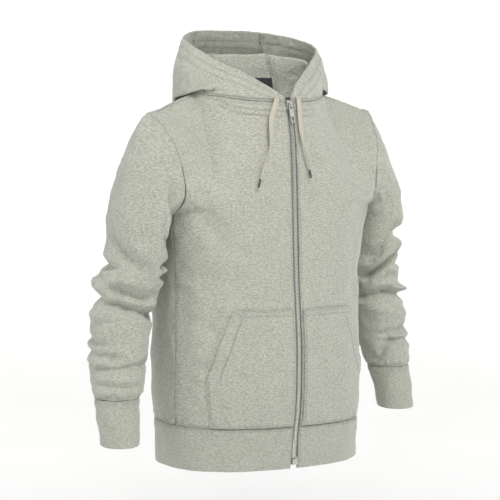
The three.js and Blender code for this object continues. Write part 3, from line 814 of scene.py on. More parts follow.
@dataclass(frozen=True)
class BodyCreases:
    """The soft folds of the body, by x and z in mm, for the fronts and for the back."""

    scale: float = 1.6
    front: tuple = (
        Crease(-166, -118, -128, -178, 2.6, 9, 14),
        Crease(-168, -150, -118, -214, 2.2, 10, 16),
        Crease(-150, -190, -128, -262, -1.2, 12, 18),
        Crease(-126, -250, -134, -372, 1.9, 13, 24),
        Crease(-96, -232, -104, -330, 1.1, 12, 22),
        Crease(-60, -150, -66, -238, -0.9, 14, 24),
        Crease(-158, -330, -118, -352, 1.5, 9, 14),
        Crease(-160, -392, -128, -404, 1.2, 8, 14),
        Crease(166, -122, 120, -176, 2.4, 9, 14),
        Crease(168, -152, 128, -216, 2.0, 10, 14),
        Crease(118, -214, 126, -318, 1.6, 12, 22),
        Crease(78, -196, 84, -300, -0.9, 13, 22),
        Crease(154, -268, 112, -292, 1.4, 9, 14),
        Crease(160, -356, 132, -380, 1.3, 8, 12),
    )
    back: tuple = (
        Crease(-164, -120, -104, -176, 2.6, 10, 16),
        Crease(160, -112, 96, -180, 2.3, 10, 16),
        Crease(-166, -150, -124, -236, 2.2, 10, 16),
        Crease(166, -152, 118, -228, 2.4, 10, 16),
        Crease(-70, -196, -58, -330, 1.4, 15, 26),
        Crease(58, -210, 68, -350, 1.5, 15, 26),
        Crease(8, -230, -8, -400, -1.0, 17, 30),
        Crease(-140, -330, -84, -352, 1.8, 10, 16),
        Crease(146, -304, 78, -338, 2.0, 10, 16),
        Crease(-120, -404, -50, -420, 1.3, 10, 18),
        Crease(128, -396, 60, -430, 1.4, 10, 18),
        Crease(-60, -122, 52, -130, 1.4, 12, 20),
    )

    def height(self, points: np.ndarray, back: bool) -> np.ndarray:
        """How far the cloth of a front or back lies out of its plain form, in mm.

        Args:
            points: Places by their distance from the centre and their height.
            back: Whether it is the back.

        Returns:
            The height at each place.
        """
        x, z = points[..., 0], points[..., 2]
        total = ripple(points, 74, 0.75, 11) + ripple(points, 31, 0.24, 12) + crumple(points, 30, 0.45, 13)
        for crease in self.back if back else self.front:
            total = total + self.scale * crease.height(x, z)
        return total * smooth((z + 480) / 36)


@dataclass(frozen=True)
class Arm:
    """The form of a sleeve: a cap sewn into the armhole, a tube with its folds, and the cuff.

    A fold's row has the height and turn where it starts, those where it ends, its depth and its width.
    """

    trunk: Trunk
    sections: Table = Table(
        "z x y across deep",
        (
            (-192, 208.5, -4, 34.5, 66),
            (-232, 210, -2, 38.5, 61),
            (-262, 214, 3, 42, 54),
            (-289, 221, 6, 43, 46),
            (-330, 230, 6, 43.5, 44),
            (-365, 236, 4, 42.5, 43),
            (-400, 241, -4, 38.5, 40),
            (-417, 243.5, -7, 36.5, 38),
            (-428, 245, -8.5, 32.5, 33.5),
            (-460, 248, -17, 30, 31),
            (-494, 249.5, -24, 27.5, 29),
        ),
    )
    folds_right: tuple = (
        (-262, -25, -287, 92, 5, 9),
        (-296, 40, -316, 150, 6.5, 8),
        (-241, 128, -236, 175, 6, 9),
        (-240, -60, -244, -5, 4, 7),
        (-285, -70, -287, -15, 4, 7),
        (-335, -80, -352, 20, 2.5, 9),
        (-363, -30, -371, 55, 3, 7),
        (-386, 22, -382, 125, 3.5, 7),
        (-408, 30, -411, 100, 2.5, 6),
        (-205, 150, -232, 215, 4, 12),
        (-272, 195, -256, 285, 5, 10),
        (-304, 180, -290, 270, 5.5, 9),
        (-345, 200, -330, 290, 3.5, 9),
        (-380, 190, -372, 270, 3, 8),
        (-100, 62, -166, 122, 6, 12),
        (-196, -18, -246, 58, 3.5, 15),
        (-176, 92, -222, 126, 3, 11),
        (-258, 140, -262, 186, 6, 6),
        (-140, -55, -168, 10, -3, 16),
        (-262, -75, -270, 5, -8, 12),
        (-310, -75, -312, 10, -3, 10),
    )
    folds_left: tuple = (
        (-203, 85, -249, 128, 3.5, 11),
        (-250, 66, -281, 135, 7, 9),
        (-316, 35, -308, 94, 4.5, 7),
        (-308, 94, -316, 160, 5.5, 8),
        (-217, 10, -215, 60, 8, 9),
        (-310, 15, -304, 70, -5, 9),
        (-190, 5, -190, 60, -2, 10),
        (-262, 15, -264, 60, 3.5, 7),
        (-367, 40, -375, 112, 3, 6),
        (-388, 35, -386, 112, 3, 6),
        (-386, 112, -414, 150, 3, 8),
        (-345, 60, -336, 130, -2, 12),
        (-108, 60, -170, 118, 4.5, 12),
        (-245, -70, -238, 10, 4.5, 9),
        (-280, -80, -288, 0, 5, 9),
        (-330, -85, -322, 5, 3.5, 9),
        (-272, 195, -262, 285, 5, 10),
        (-300, 185, -312, 275, 5, 9),
        (-368, 200, -356, 280, 3, 8),
    )
    fold_fade: float = 22.0
    crease_scale: float = 2.0
    axis: tuple = (0.95, 0.0, -0.31)

    def fold_depth(self, side: Side, z: np.ndarray, turn: np.ndarray) -> np.ndarray:
        """How far the folds of one sleeve pull its surface in, in mm.

        Args:
            side: Whose sleeve.
            z: The height in mm.
            turn: In degrees round the arm.

        Returns:
            The depth at each place.
        """
        depth = np.zeros(np.broadcast_shapes(np.shape(z), np.shape(turn)))
        for z0, t0, z1, t1, deep, width in self.folds_right if side.mirror else self.folds_left:
            middle = (t0 + t1) / 2
            near = (turn - middle + 180) % 360 - 180 + middle
            share = np.clip((near - t0) / (t1 - t0), 0, 1)
            past = (near - mix(t0, t1, share)) / self.fold_fade
            away = np.abs(z - mix(z0, z1, share)) / (0.85 * width)
            valley = 0.72 * bell(away, 1.0) + 0.38 * np.exp(-away / 0.4) - 0.16 * bell(away - 1.9, 0.7)
            depth += self.crease_scale * deep * np.exp(-(past**2)) * valley
        return depth

    def tube_point(self, side: Side, turn: np.ndarray, z: np.ndarray) -> np.ndarray:
        """A place on the tube or the cuff.

        Args:
            side: Whose sleeve.
            turn: In degrees, 0 at the outside of the arm, 90 at the front.
            z: The height in mm.

        Returns:
            The place, in mm.
        """
        x, y, across, deep = self.sections.at(z)
        inward = self.fold_depth(side, z, turn) * smooth((z - CUFF_SEAM_Z) / 12)
        angle = np.radians(turn)
        return stack(x + (across - inward) * np.cos(angle), y - (deep - inward) * np.sin(angle), z)

    def armhole_out(self, turn: np.ndarray) -> np.ndarray:
        """The direction from the hollow of the armhole outwards at its edge.

        Args:
            turn: In degrees round the armhole.

        Returns:
            One unit vector for each turn.
        """
        along = unit(self.trunk.armhole(turn + 2) - self.trunk.armhole(turn - 2))
        radial = unit(np.cross(np.array(self.axis), along))
        under = smooth((-radial[..., 2:] - 0.2) / 0.8)
        return unit(radial + np.array(self.axis) * mix(0.3, 1.0, under))

    def heading(self, turn: np.ndarray) -> np.ndarray:
        """The direction in which the sleeve leaves the armhole."""
        along = unit(self.trunk.armhole(turn + 2) - self.trunk.armhole(turn - 2))
        return unit(np.cross(along, self.armhole_out(turn)))

    def cap_point(self, side: Side, turn: np.ndarray, k: np.ndarray) -> np.ndarray:
        """A place on the cap.

        Args:
            side: Whose sleeve.
            turn: In degrees round the arm.
            k: From 0 at the armhole to 1 where the tube starts.

        Returns:
            The place, in mm.
        """
        start = self.trunk.armhole(turn) + self.heading(turn) * SEAM_GAP
        end = self.tube_point(side, turn, np.full_like(turn, TUBE_START_Z))
        reach = np.linalg.norm(end - start, axis=-1)
        cosine = np.cos(np.radians(turn))
        upper = smooth((cosine + 0.6) / 1.4)
        pull = reach * mix(0.55, 0.62, upper)
        leave = stack(mix(0.9, 0.8, upper) * pull, 0.0, mix(-0.44, -0.6, upper) * pull)
        arrive = stack(0.0, 0.0, -reach * mix(0.8, 0.95, upper))
        point = eased(start, leave, end, arrive, k[..., None])
        inward = self.fold_depth(side, point[..., 2], turn) * smooth(k * 1.6) * (1 - k)
        return point - stack(inward * cosine, -inward * np.sin(np.radians(turn)), 0.0)


@dataclass(frozen=True)
class HoodForm:
    """The form of the folded hood: seven lines round it, from the neck seam to the hood's opening.

    The five between those two are rows of places, at the shares in lines_at of the way round to the back.
    """

    trunk: Trunk
    lines_at: tuple = (0.42, 0.54, 0.65, 0.78, 0.89, 1)
    lines: tuple = (
        ((95, -29, 16), (108, 4, 24), (100, 24, 24), (72, 38, 24), (40, 46, 24), (0, 48, 24)),
        ((91, -26, 32), (99, 10, 46), (86, 30, 50), (62, 46, 55), (34, 54, 57), (0, 57, 57)),
        ((97, -30, 22), (111, 12, 34), (102, 40, 34), (74, 66, 24), (44, 84, 10), (0, 88, 8)),
        ((101, -34, -4.2), (127, -6, -3.4), (118, 40, -8.4), (86, 84, -38), (50, 109, -76), (0, 120, -90)),
        ((100, -33, 22), (125, -2, 28), (118, 44, 28), (90, 90, 12), (54, 119, 2), (0, 132, -2)),
    )
    rim: Table = Table(
        "s x y z",
        (
            (0, 5.3, -80, -5),
            (0.14, 28, -60, 15),
            (0.28, 52, -45, 30),
            (0.42, 80, -24, 46),
            (0.54, 110, 3, 69),
            (0.65, 105, 40, 82),
            (0.78, 75, 68, 91),
            (0.89, 40, 86, 95),
            (1, 0, 95, 96),
        ),
    )
    plain_share: tuple = (0, 0.05, 0.1, 0.15, 0.2, 0.6, 1)
    fold_from: float = 0.38
    fold_full: float = 0.58
    front_bulge: float = 5.0

    def line(self, k: int, s: np.ndarray) -> np.ndarray:
        """A place on one of the lines round the hood.

        Args:
            k: Which line, counted from the neck seam.
            s: From 0 at the centre front to 1 at the centre back.

        Returns:
            The place, in mm.
        """
        foot = self.trunk.neck.point(s) + np.array([0, 0, SEAM_GAP])
        if k == 0:
            return foot
        rim = self.rim.point(s)
        if k == len(self.lines) + 1:
            return rim
        share = self.plain_share[k]
        bulge = self.front_bulge * math.sin(math.pi * share) * smooth(s / 0.15)
        outward = unit(stack(foot[..., 0], foot[..., 1], 20.0))
        plain = mix(foot, rim, share) + outward * bulge[..., None]
        rows = tuple((at, *spot) for at, spot in zip(self.lines_at, self.lines[k - 1]))
        folded = Table("s x y z", rows).point(s)
        return mix(plain, folded, smooth((s - self.fold_from) / (self.fold_full - self.fold_from))[..., None])

    def point(self, s: np.ndarray, v: np.ndarray) -> np.ndarray:
        """A place on the hood.

        Args:
            s: From 0 at the centre front to 1 at the centre back.
            v: From 0 at the neck seam to 1 at the hood's opening.

        Returns:
            The place, in mm.
        """
        last = len(self.lines) + 1
        knots = np.stack([self.line(k, s) for k in range(last + 1)])
        p = last * np.clip(v, 0, 1)
        i = np.minimum(np.floor(p).astype(int), last - 1)
        w = (p - i)[..., None]
        padded = np.concatenate([2 * knots[:1] - knots[1:2], knots, 2 * knots[-1:] - knots[-2:-1]])
        where = np.indices(i.shape)
        four = [padded[(i + n, *where)] for n in range(4)]
        steps = [b - a for a, b in zip(four, four[1:])]
        d0, d1, d2 = (np.sqrt(np.linalg.norm(step, axis=-1, keepdims=True)) for step in steps)
        d1 = np.where(d1 < 1e-4, 1.0, d1)
        d0 = np.where(d0 < 1e-4, d1, d0)
        d2 = np.where(d2 < 1e-4, d1, d2)
        return between(four, (d0, d1, d2), w)

    def inside(self, s: np.ndarray, v: np.ndarray) -> np.ndarray:
        """The direction from the hood's cloth to its inner side.

        Args:
            s: Share of the way round.
            v: Share of the way up.

        Returns:
            One unit vector for each place.
        """
        d = 0.004
        across = self.point(np.minimum(1, s + d), v) - self.point(np.maximum(0, s - d), v)
        along = self.point(s, np.minimum(1, v + d)) - self.point(s, np.maximum(0, v - d))
        return unit(np.cross(along, across))


@dataclass(frozen=True)
class Stitches:
    """The size and pitch of a stitch, and the small part that is laid along every line."""

    pitch: float = 3.3
    length: float = 2.5
    thick: float = 0.62
    full: float = 0.78

    def part(self) -> bpy.types.Object:
        """One stitch: a short thread with rounded ends, along Z.

        Returns:
            The part that is repeated.
        """
        turns, faces = 6, []
        vertices = [(0, 0, -1)]
        for step in (-self.full, self.full):
            angles = [2 * math.pi * k / turns for k in range(turns)]
            vertices += [(math.cos(angle), math.sin(angle), step) for angle in angles]
        vertices.append((0, 0, 1))
        for k in range(turns):
            n = (k + 1) % turns
            faces += [(0, 1 + n, 1 + k), (1 + turns + k, 1 + turns + n, 1 + 2 * turns)]
            faces += [(1 + k, 1 + n, 1 + turns + n, 1 + turns + k)]
        size = np.array([self.thick / 2, self.thick / 2, self.length / 2]) * MM
        return mesh_object("stitch_part", np.array(vertices) * size, faces)


class PathTree:
    """Geometry nodes that set a part along every line of a mesh at an even pitch."""

    def __init__(self, name: str) -> None:
        """Builds the tree, with its part, pitch and finish as named inputs.

        Args:
            name: The tree's name.
        """
        tree = bpy.data.node_groups.new(name, "GeometryNodeTree")
        face = tree.interface
        face.new_socket("Lines", in_out="INPUT", socket_type="NodeSocketGeometry")
        self.part = face.new_socket("Part", in_out="INPUT", socket_type="NodeSocketObject").identifier
        self.pitch = face.new_socket("Pitch", in_out="INPUT", socket_type="NodeSocketFloat").identifier
        self.finish = face.new_socket("Finish", in_out="INPUT", socket_type="NodeSocketMaterial").identifier
        face.new_socket("Made", in_out="OUTPUT", socket_type="NodeSocketGeometry")
        nodes, links = tree.nodes, tree.links
        start, end = nodes.new("NodeGroupInput"), nodes.new("NodeGroupOutput")
        curve, points = nodes.new("GeometryNodeMeshToCurve"), nodes.new("GeometryNodeCurveToPoints")
        points.mode = "LENGTH"
        part, turned = nodes.new("GeometryNodeObjectInfo"), nodes.new("FunctionNodeAlignRotationToVector")
        turned.axis = "Z"
        copies, real = nodes.new("GeometryNodeInstanceOnPoints"), nodes.new("GeometryNodeRealizeInstances")
        paint = nodes.new("GeometryNodeSetMaterial")
        links.new(start.outputs["Lines"], curve.inputs["Mesh"])
        links.new(curve.outputs["Curve"], points.inputs["Curve"])
        links.new(start.outputs["Pitch"], points.inputs["Length"])
        links.new(start.outputs["Part"], part.inputs["Object"])
        links.new(points.outputs["Tangent"], turned.inputs["Vector"])
        links.new(points.outputs["Points"], copies.inputs["Points"])
        links.new(part.outputs["Geometry"], copies.inputs["Instance"])
        links.new(turned.outputs["Rotation"], copies.inputs["Rotation"])
        links.new(copies.outputs["Instances"], real.inputs["Geometry"])
        links.new(real.outputs["Geometry"], paint.inputs["Geometry"])
        links.new(start.outputs["Finish"], paint.inputs["Material"])
        links.new(paint.outputs["Geometry"], end.inputs["Made"])
        self.tree = tree

    def run(
        self, name: str, lines: list, part: bpy.types.Object, pitch: float, finish: bpy.types.Material
    ) -> bpy.types.Object:
        """Lays the part along the lines and makes the result a plain mesh.

        Args:
            name: The new piece's name.
            lines: Lines of points, in mm.
            part: The object that is repeated, along Z.
            pitch: Distance between two of them, in mm.
            finish: The material of all of them.

        Returns:
            The new piece.
        """
        counts = [len(line) for line in lines]
        starts = np.cumsum([0, *counts[:-1]])
        mesh = bpy.data.meshes.new(name + "_lines")
        edges = [(int(s + k), int(s + k + 1)) for s, n in zip(starts, counts) for k in range(n - 1)]
        mesh.from_pydata([tuple(p) for p in np.vstack(lines) * MM], edges, [])
        holder = placed(name + "_lines", mesh)
        modifier = holder.modifiers.new("along", "NODES")
        modifier.node_group = self.tree
        modifier[self.part] = part
        modifier[self.pitch] = pitch * MM
        modifier[self.finish] = finish
        result = worked_out(holder)
        result.name = name
        holder.modifiers.remove(modifier)
        bpy.data.objects.remove(holder)
        return placed(name, result)


def group_tree(name: str, inputs: dict[str, float | tuple], outputs: tuple[str, ...]) -> bpy.types.NodeTree:
    """A shader node group with named inputs and outputs.

    Args:
        name: The group's name.
        inputs: Each input's default, a number or a colour; a vector input has None.
        outputs: Names of outputs; one that ends in Color is a colour.

    Returns:
        The group's tree, with its input and output nodes named in and out.
    """
    tree = bpy.data.node_groups.new(name, "ShaderNodeTree")
    for label, value in inputs.items():
        kind = "Vector" if value is None else "Color" if isinstance(value, tuple) else "Float"
        socket = tree.interface.new_socket(label, in_out="INPUT", socket_type="NodeSocket" + kind)
        if value is not None:
            socket.default_value = value
    for label in outputs:
        kind = "Color" if label.endswith("Color") else "Float"
        tree.interface.new_socket(label, in_out="OUTPUT", socket_type="NodeSocket" + kind)
    tree.nodes.new("NodeGroupInput").name = "in"
    tree.nodes.new("NodeGroupOutput").name = "out"
    return tree


class Graph:
    """Short calls for making shader nodes in one tree."""

    def __init__(self, tree: bpy.types.NodeTree) -> None:
        """Takes the tree."""
        self.tree = tree

    def put(self, socket: bpy.types.NodeSocket, value: object) -> None:
        """Links a socket to an output, or sets its own value.

        Args:
            socket: The input.
            value: An output, a value, or None to leave it.
        """
        if isinstance(value, bpy.types.NodeSocket):
            self.tree.links.new(value, socket)
        elif value is not None:
            socket.default_value = value

    def noise(
        self, place: object, scale: float, detail: float = 2.0, rough: float = 0.5, bend: float = 0.0
    ) -> bpy.types.NodeSocket:
        """A noise value at a place.

        Args:
            place: Where it is read.
            scale: How fine it is.
            detail: How many finer layers.
            rough: How strong those are.
            bend: How far it is pulled about.

        Returns:
            The value.
        """
        node = self.tree.nodes.new("ShaderNodeTexNoise")
        self.put(node.inputs["Vector"], place)
        values = {"Scale": scale, "Detail": detail, "Roughness": rough, "Distortion": bend}
        for label, value in values.items():
            node.inputs[label].default_value = value
        return node.outputs["Fac"]

    def stretch(self, place: object, scale: tuple, turn: float = 0.0) -> bpy.types.NodeSocket:
        """The place, scaled on each axis and turned about Z.

        Args:
            place: The place.
            scale: One number for each axis.
            turn: In radians.

        Returns:
            The new place.
        """
        node = self.tree.nodes.new("ShaderNodeMapping")
        self.put(node.inputs["Vector"], place)
        node.inputs["Scale"].default_value = scale
        node.inputs["Rotation"].default_value = (0, 0, turn)
        return node.outputs["Vector"]

    def math(self, kind: str, a: object, b: object) -> bpy.types.NodeSocket:
        """One step of arithmetic.

        Args:
            kind: Which step.
            a: The first value.
            b: The second value.

        Returns:
            The result.
        """
        node = self.tree.nodes.new("ShaderNodeMath")
        node.operation = kind
        for socket, value in zip(node.inputs, (a, b)):
            self.put(socket, value)
        return node.outputs["Value"]

    def total(self, *parts: tuple) -> bpy.types.NodeSocket:
        """The sum of several values, each with its own weight.

        Args:
            parts: Pairs of a value and its weight.

        Returns:
            The sum.
        """
        weighted = [self.math("MULTIPLY", value, weight) for value, weight in parts]
        found = weighted[0]
        for one in weighted[1:]:
            found = self.math("ADD", found, one)
        return found

    def span(
        self, value: object, low: float, high: float, to_low: float = 0.0, to_high: float = 1.0
    ) -> bpy.types.NodeSocket:
        """The value spread from one range to another, kept within it.

        Args:
            value: What is spread.
            low: Where its range starts.
            high: Where its range ends.
            to_low: Where the new range starts.
            to_high: Where the new range ends.

        Returns:
            The new value.
        """
        node = self.tree.nodes.new("ShaderNodeMapRange")
        node.interpolation_type = "SMOOTHSTEP"
        for socket, number in zip(node.inputs[:5], (value, low, high, to_low, to_high)):
            self.put(socket, number)
        return node.outputs["Result"]

    def blend(self, share: object, a: object, b: object, kind: str = "MIX") -> bpy.types.NodeSocket:
        """Two colours mixed by a share.

        Args:
            share: How much of the second.
            a: The first colour.
            b: The second colour.
            kind: How they are mixed.

        Returns:
            The colour.
        """
        node = self.tree.nodes.new("ShaderNodeMix")
        node.data_type = "RGBA"
        node.blend_type = kind
        for socket, value in zip((node.inputs[0], node.inputs[6], node.inputs[7]), (share, a, b)):
            self.put(socket, value)
        return node.outputs[2]

    def wave(self, place: object, direction: str) -> bpy.types.NodeSocket:
        """Even waves along one axis, one for each unit of the place.

        Args:
            place: Where they are read.
            direction: The axis.

        Returns:
            The value.
        """
        node = self.tree.nodes.new("ShaderNodeTexWave")
        node.bands_direction = direction
        self.put(node.inputs["Vector"], place)
        node.inputs["Scale"].default_value = WAVE_PER_UNIT
        return node.outputs["Fac"]

    def bump(self, height: object, strength: float, distance_mm: float) -> bpy.types.NodeSocket:
        """The surface's direction, made uneven by a height.

        Args:
            height: The height.
            strength: How much of it shows.
            distance_mm: How high a height of 1 is.

        Returns:
            The direction.
        """
        node = self.tree.nodes.new("ShaderNodeBump")
        node.inputs["Strength"].default_value = strength
        node.inputs["Distance"].default_value = distance_mm * MM
        self.put(node.inputs["Height"], height)
        return node.outputs["Normal"]

    def place(self, own: str = "UV") -> bpy.types.NodeSocket:
        """The piece's own coordinates."""
        return self.tree.nodes.new("ShaderNodeTexCoord").outputs[own]


class MarlGroup:
    """Grey marl: light and dark flecks drawn out across the cloth, in a fine knit, with painted shade along
    the seams.
    """

    def __init__(self) -> None:
        """Builds the group once."""
        inputs = {
            "Place": None,
            "Seam Shade": 0.0,
            "Light Color": (0.6, 0.6, 0.56, 1),
            "Dark Color": (0.3, 0.3, 0.27, 1),
            "Flecks": 1.0,
            "Knit": 1.0,
        }
        self.tree = group_tree("marl_knit", inputs, ("Cloth Color", "Height", "Roughness"))
        g = Graph(self.tree)
        start, end = self.tree.nodes["in"].outputs, self.tree.nodes["out"].inputs
        place = start["Place"]
        wide = g.span(g.noise(g.stretch(place, (2.5, 6.0, 1)), 1.0, 2.0, 0.6, 0.8), 0.36, 0.64)
        fine = g.span(g.noise(g.stretch(place, (5.6, 11, 1)), 1.0, 2.0, 0.6, 0.4), 0.32, 0.68)
        specks = g.span(g.noise(g.stretch(place, (13, 30, 1)), 1.0, 1.0, 0.5), 0.55, 0.75)
        cloud = g.noise(g.stretch(place, (0.35, 0.5, 1)), 1.0, 2.0, 0.5)
        tone = g.total((wide, 0.6), (fine, 0.32), (specks, 0.1), (g.math("SUBTRACT", cloud, 0.5), 0.22))
        share = g.math("ADD", 0.5, g.math("MULTIPLY", g.math("SUBTRACT", tone, 0.5), start["Flecks"]))
        plain = g.blend(g.span(share, -0.15, 1.15), start["Dark Color"], start["Light Color"])
        # Painted seam shade: the marl multiplied darker, blended in by the seam shade at each point.
        sewn = g.blend(1.0, plain, (0.5, 0.5, 0.48, 1), "MULTIPLY")
        g.put(end["Cloth Color"], g.blend(start["Seam Shade"], plain, sewn))
        wales = g.wave(g.stretch(place, (10 / WALE_MM, 0, 0)), "X")
        courses = g.wave(g.stretch(place, (0, 10 / COURSE_MM, 0)), "Y")
        knit = g.math("MULTIPLY", g.total((wales, 1.0), (courses, 0.45)), start["Knit"])
        fuzz = g.noise(g.stretch(place, (11, 14, 1)), 1.0, 3.0, 0.6)
        g.put(end["Height"], g.total((knit, 1.0), (fuzz, 1.1), (fine, 0.5)))
        g.put(end["Roughness"], g.span(fuzz, 0.2, 0.8, 0.86, 0.97))


def new_material(name: str) -> tuple[bpy.types.Material, Graph, bpy.types.Node]:
    """A material with one surface shader, its graph helper and that shader.

    Args:
        name: The material's name.

    Returns:
        The three.
    """
    made = bpy.data.materials.new(name)
    made.use_nodes = True
    return made, Graph(made.node_tree), made.node_tree.nodes["Principled BSDF"]


@dataclass(frozen=True)
class MarlFinish:
    """A grey marl cloth with its own shades."""

    name: str
    light: tuple = (0.51, 0.52, 0.448, 1)
    dark: tuple = (0.275, 0.28, 0.23, 1)
    flecks: float = 1.0
    knit: float = 1.0
    depth: float = 0.28
    height_mm: float = 0.25
    sheen: float = 0.35
    sheen_rough: float = 0.55
    gloss: float = 0.25

    def material(self, group: MarlGroup) -> bpy.types.Material:
        """Builds the cloth's material round the shared group.

        Args:
            group: The shared group.

        Returns:
            The material.
        """
        made, g, shader = new_material(self.name)
        marl = made.node_tree.nodes.new("ShaderNodeGroup")
        marl.node_tree = group.tree
        g.put(marl.inputs["Place"], g.place())
        # Reads the painted seam shade that each piece's mesh carries.
        seam_shading = made.node_tree.nodes.new("ShaderNodeAttribute")
        seam_shading.attribute_name = SEAM_SHADE
        g.put(marl.inputs["Seam Shade"], seam_shading.outputs["Fac"])
        values = {
            "Light Color": self.light,
            "Dark Color": self.dark,
            "Flecks": self.flecks,
            "Knit": self.knit,
        }
        for label, value in values.items():
            marl.inputs[label].default_value = value
        g.put(shader.inputs["Base Color"], marl.outputs["Cloth Color"])
        g.put(shader.inputs["Roughness"], marl.outputs["Roughness"])
        g.put(shader.inputs["Normal"], g.bump(marl.outputs["Height"], self.depth, self.height_mm))
        shader.inputs["Sheen Weight"].default_value = self.sheen
        shader.inputs["Sheen Roughness"].default_value = self.sheen_rough
        shader.inputs["Specular IOR Level"].default_value = self.gloss
        return made


@dataclass(frozen=True)
class WovenFinish:
    """A plain woven or braided band: tape, cord, label or thread."""

    name: str
    light: tuple
    dark: tuple
    pitch_mm: float
    slant: float = 0.0
    depth: float = 0.5
    own: str = "UV"
    rough: float = 0.85
    height_mm: float = 0.2
    sheen: float = 0.2
    gloss: float = 0.3

    def material(self) -> bpy.types.Material:
        """Builds the band's material.

        Returns:
            The material.
        """
        made, g, shader = new_material(self.name)
        per = UV_PER_MM * self.pitch_mm if self.own == "UV" else self.pitch_mm * MM
        place = g.stretch(g.place(self.own), (1 / per, 1 / per, 1 / per), self.slant)
        weave = g.total((g.wave(place, "X"), 0.6), (g.wave(place, "Y"), 0.5))
        mottle = g.noise(place, 0.35, 3.0, 0.6)
        share = g.total((weave, 0.55), (mottle, 0.45))
        g.put(shader.inputs["Base Color"], g.blend(share, self.dark, self.light))
        g.put(shader.inputs["Normal"], g.bump(weave, self.depth, self.height_mm))
        g.put(shader.inputs["Roughness"], g.span(mottle, 0.2, 0.8, self.rough - 0.06, self.rough + 0.06))
        shader.inputs["Sheen Weight"].default_value = self.sheen
        shader.inputs["Specular IOR Level"].default_value = self.gloss
        return made


@dataclass(frozen=True)
class MetalFinish:
    """A dull plated metal with fine scratches and darker patches."""

    name: str
    base: tuple
    worn: tuple
    rough: float
    metal: float = 1.0
    depth: float = 0.15
    height_mm: float = 0.05

    def material(self) -> bpy.types.Material:
        """Builds the metal's material.

        Returns:
            The material.
        """
        made, g, shader = new_material(self.name)
        place = g.place("Object")
        patch = g.noise(place, 420, 3.0, 0.6)
        brushed = g.noise(g.stretch(place, (9000, 9000, 500)), 1.0, 2.0, 0.5)
        g.put(shader.inputs["Base Color"], g.blend(g.span(patch, 0.35, 0.7), self.worn, self.base))
        shader.inputs["Metallic"].default_value = self.metal
        rough = g.total((patch, 0.2), (brushed, 0.08))
        g.put(shader.inputs["Roughness"], g.math("ADD", rough, self.rough - 0.14))
        g.put(shader.inputs["Normal"], g.bump(brushed, self.depth, self.height_mm))
        return made


class Finishes:
    """Every material of the garment, built once."""

    def __init__(self) -> None:
        """Builds them."""
        marl = MarlGroup()
        rib = MarlFinish("grey_marl_rib", (0.49, 0.5, 0.43, 1), (0.275, 0.28, 0.23, 1), 0.9, 1.5, 0.36)
        tape = WovenFinish("zip_tape_weave", (0.36, 0.365, 0.34, 1), (0.2, 0.205, 0.19, 1), 0.8)
        label = WovenFinish("charcoal_label", (0.045, 0.045, 0.05, 1), (0.018, 0.018, 0.02, 1), 0.5)
        self.sheets = {
            "jersey": MarlFinish("grey_marl_jersey").material(marl),
            "rib": rib.material(marl),
            "zip_tape": tape.material(),
            "label": label.material(),
        }
        ecru, ecru_shade = (0.57, 0.54, 0.445, 1), (0.34, 0.31, 0.24, 1)
        self.cord = WovenFinish("ecru_cord_braid", ecru, ecru_shade, 1.1, math.pi / 4, 0.8).material()
        thread = (0.5, 0.6, 0.3, "Object")
        grey, grey_shade = (0.52, 0.525, 0.49, 1), (0.36, 0.365, 0.335, 1)
        self.thread = WovenFinish("grey_thread", grey, grey_shade, *thread).material()
        dark, dark_shade = (0.06, 0.06, 0.065, 1), (0.03, 0.03, 0.034, 1)
        self.dark_thread = WovenFinish("charcoal_thread", dark, dark_shade, *thread).material()
        pale, pale_shade = (0.7, 0.7, 0.67, 1), (0.4, 0.4, 0.38, 1)
        self.nickel = MetalFinish("dull_nickel", pale, pale_shade, 0.3, 0.9).material()
        tooth, tooth_shade = (0.72, 0.715, 0.67, 1), (0.56, 0.555, 0.51, 1)
        self.teeth = MetalFinish("pale_nickel_teeth", tooth, tooth_shade, 0.5, 0.35).material()
        bronze, bronze_shade = (0.16, 0.15, 0.135, 1), (0.08, 0.076, 0.07, 1)
        self.bronze = MetalFinish("dark_tip_metal", bronze, bronze_shade, 0.42).material()


def sheet_facts(patch: Patch) -> tuple[tuple[float, float], float]:
    """The size that a piece was cut to, measured along its smooth form before its creases.

    Args:
        patch: The piece's points.

    Returns:
        Its width and length, and its area, in metres.
    """
    p = np.concatenate([patch.points, patch.points[:, :1]], axis=1) if patch.ring else patch.points
    one = np.cross(p[1:, 1:] - p[:-1, :-1], p[1:, :-1] - p[:-1, 1:])
    area = float(np.linalg.norm(one, axis=-1).sum() / 2) * MM * MM
    width, length = float(patch.u[:, -1].max()) * MM, float(patch.v[-1].max()) * MM
    return (width, length), min(area, width * length)


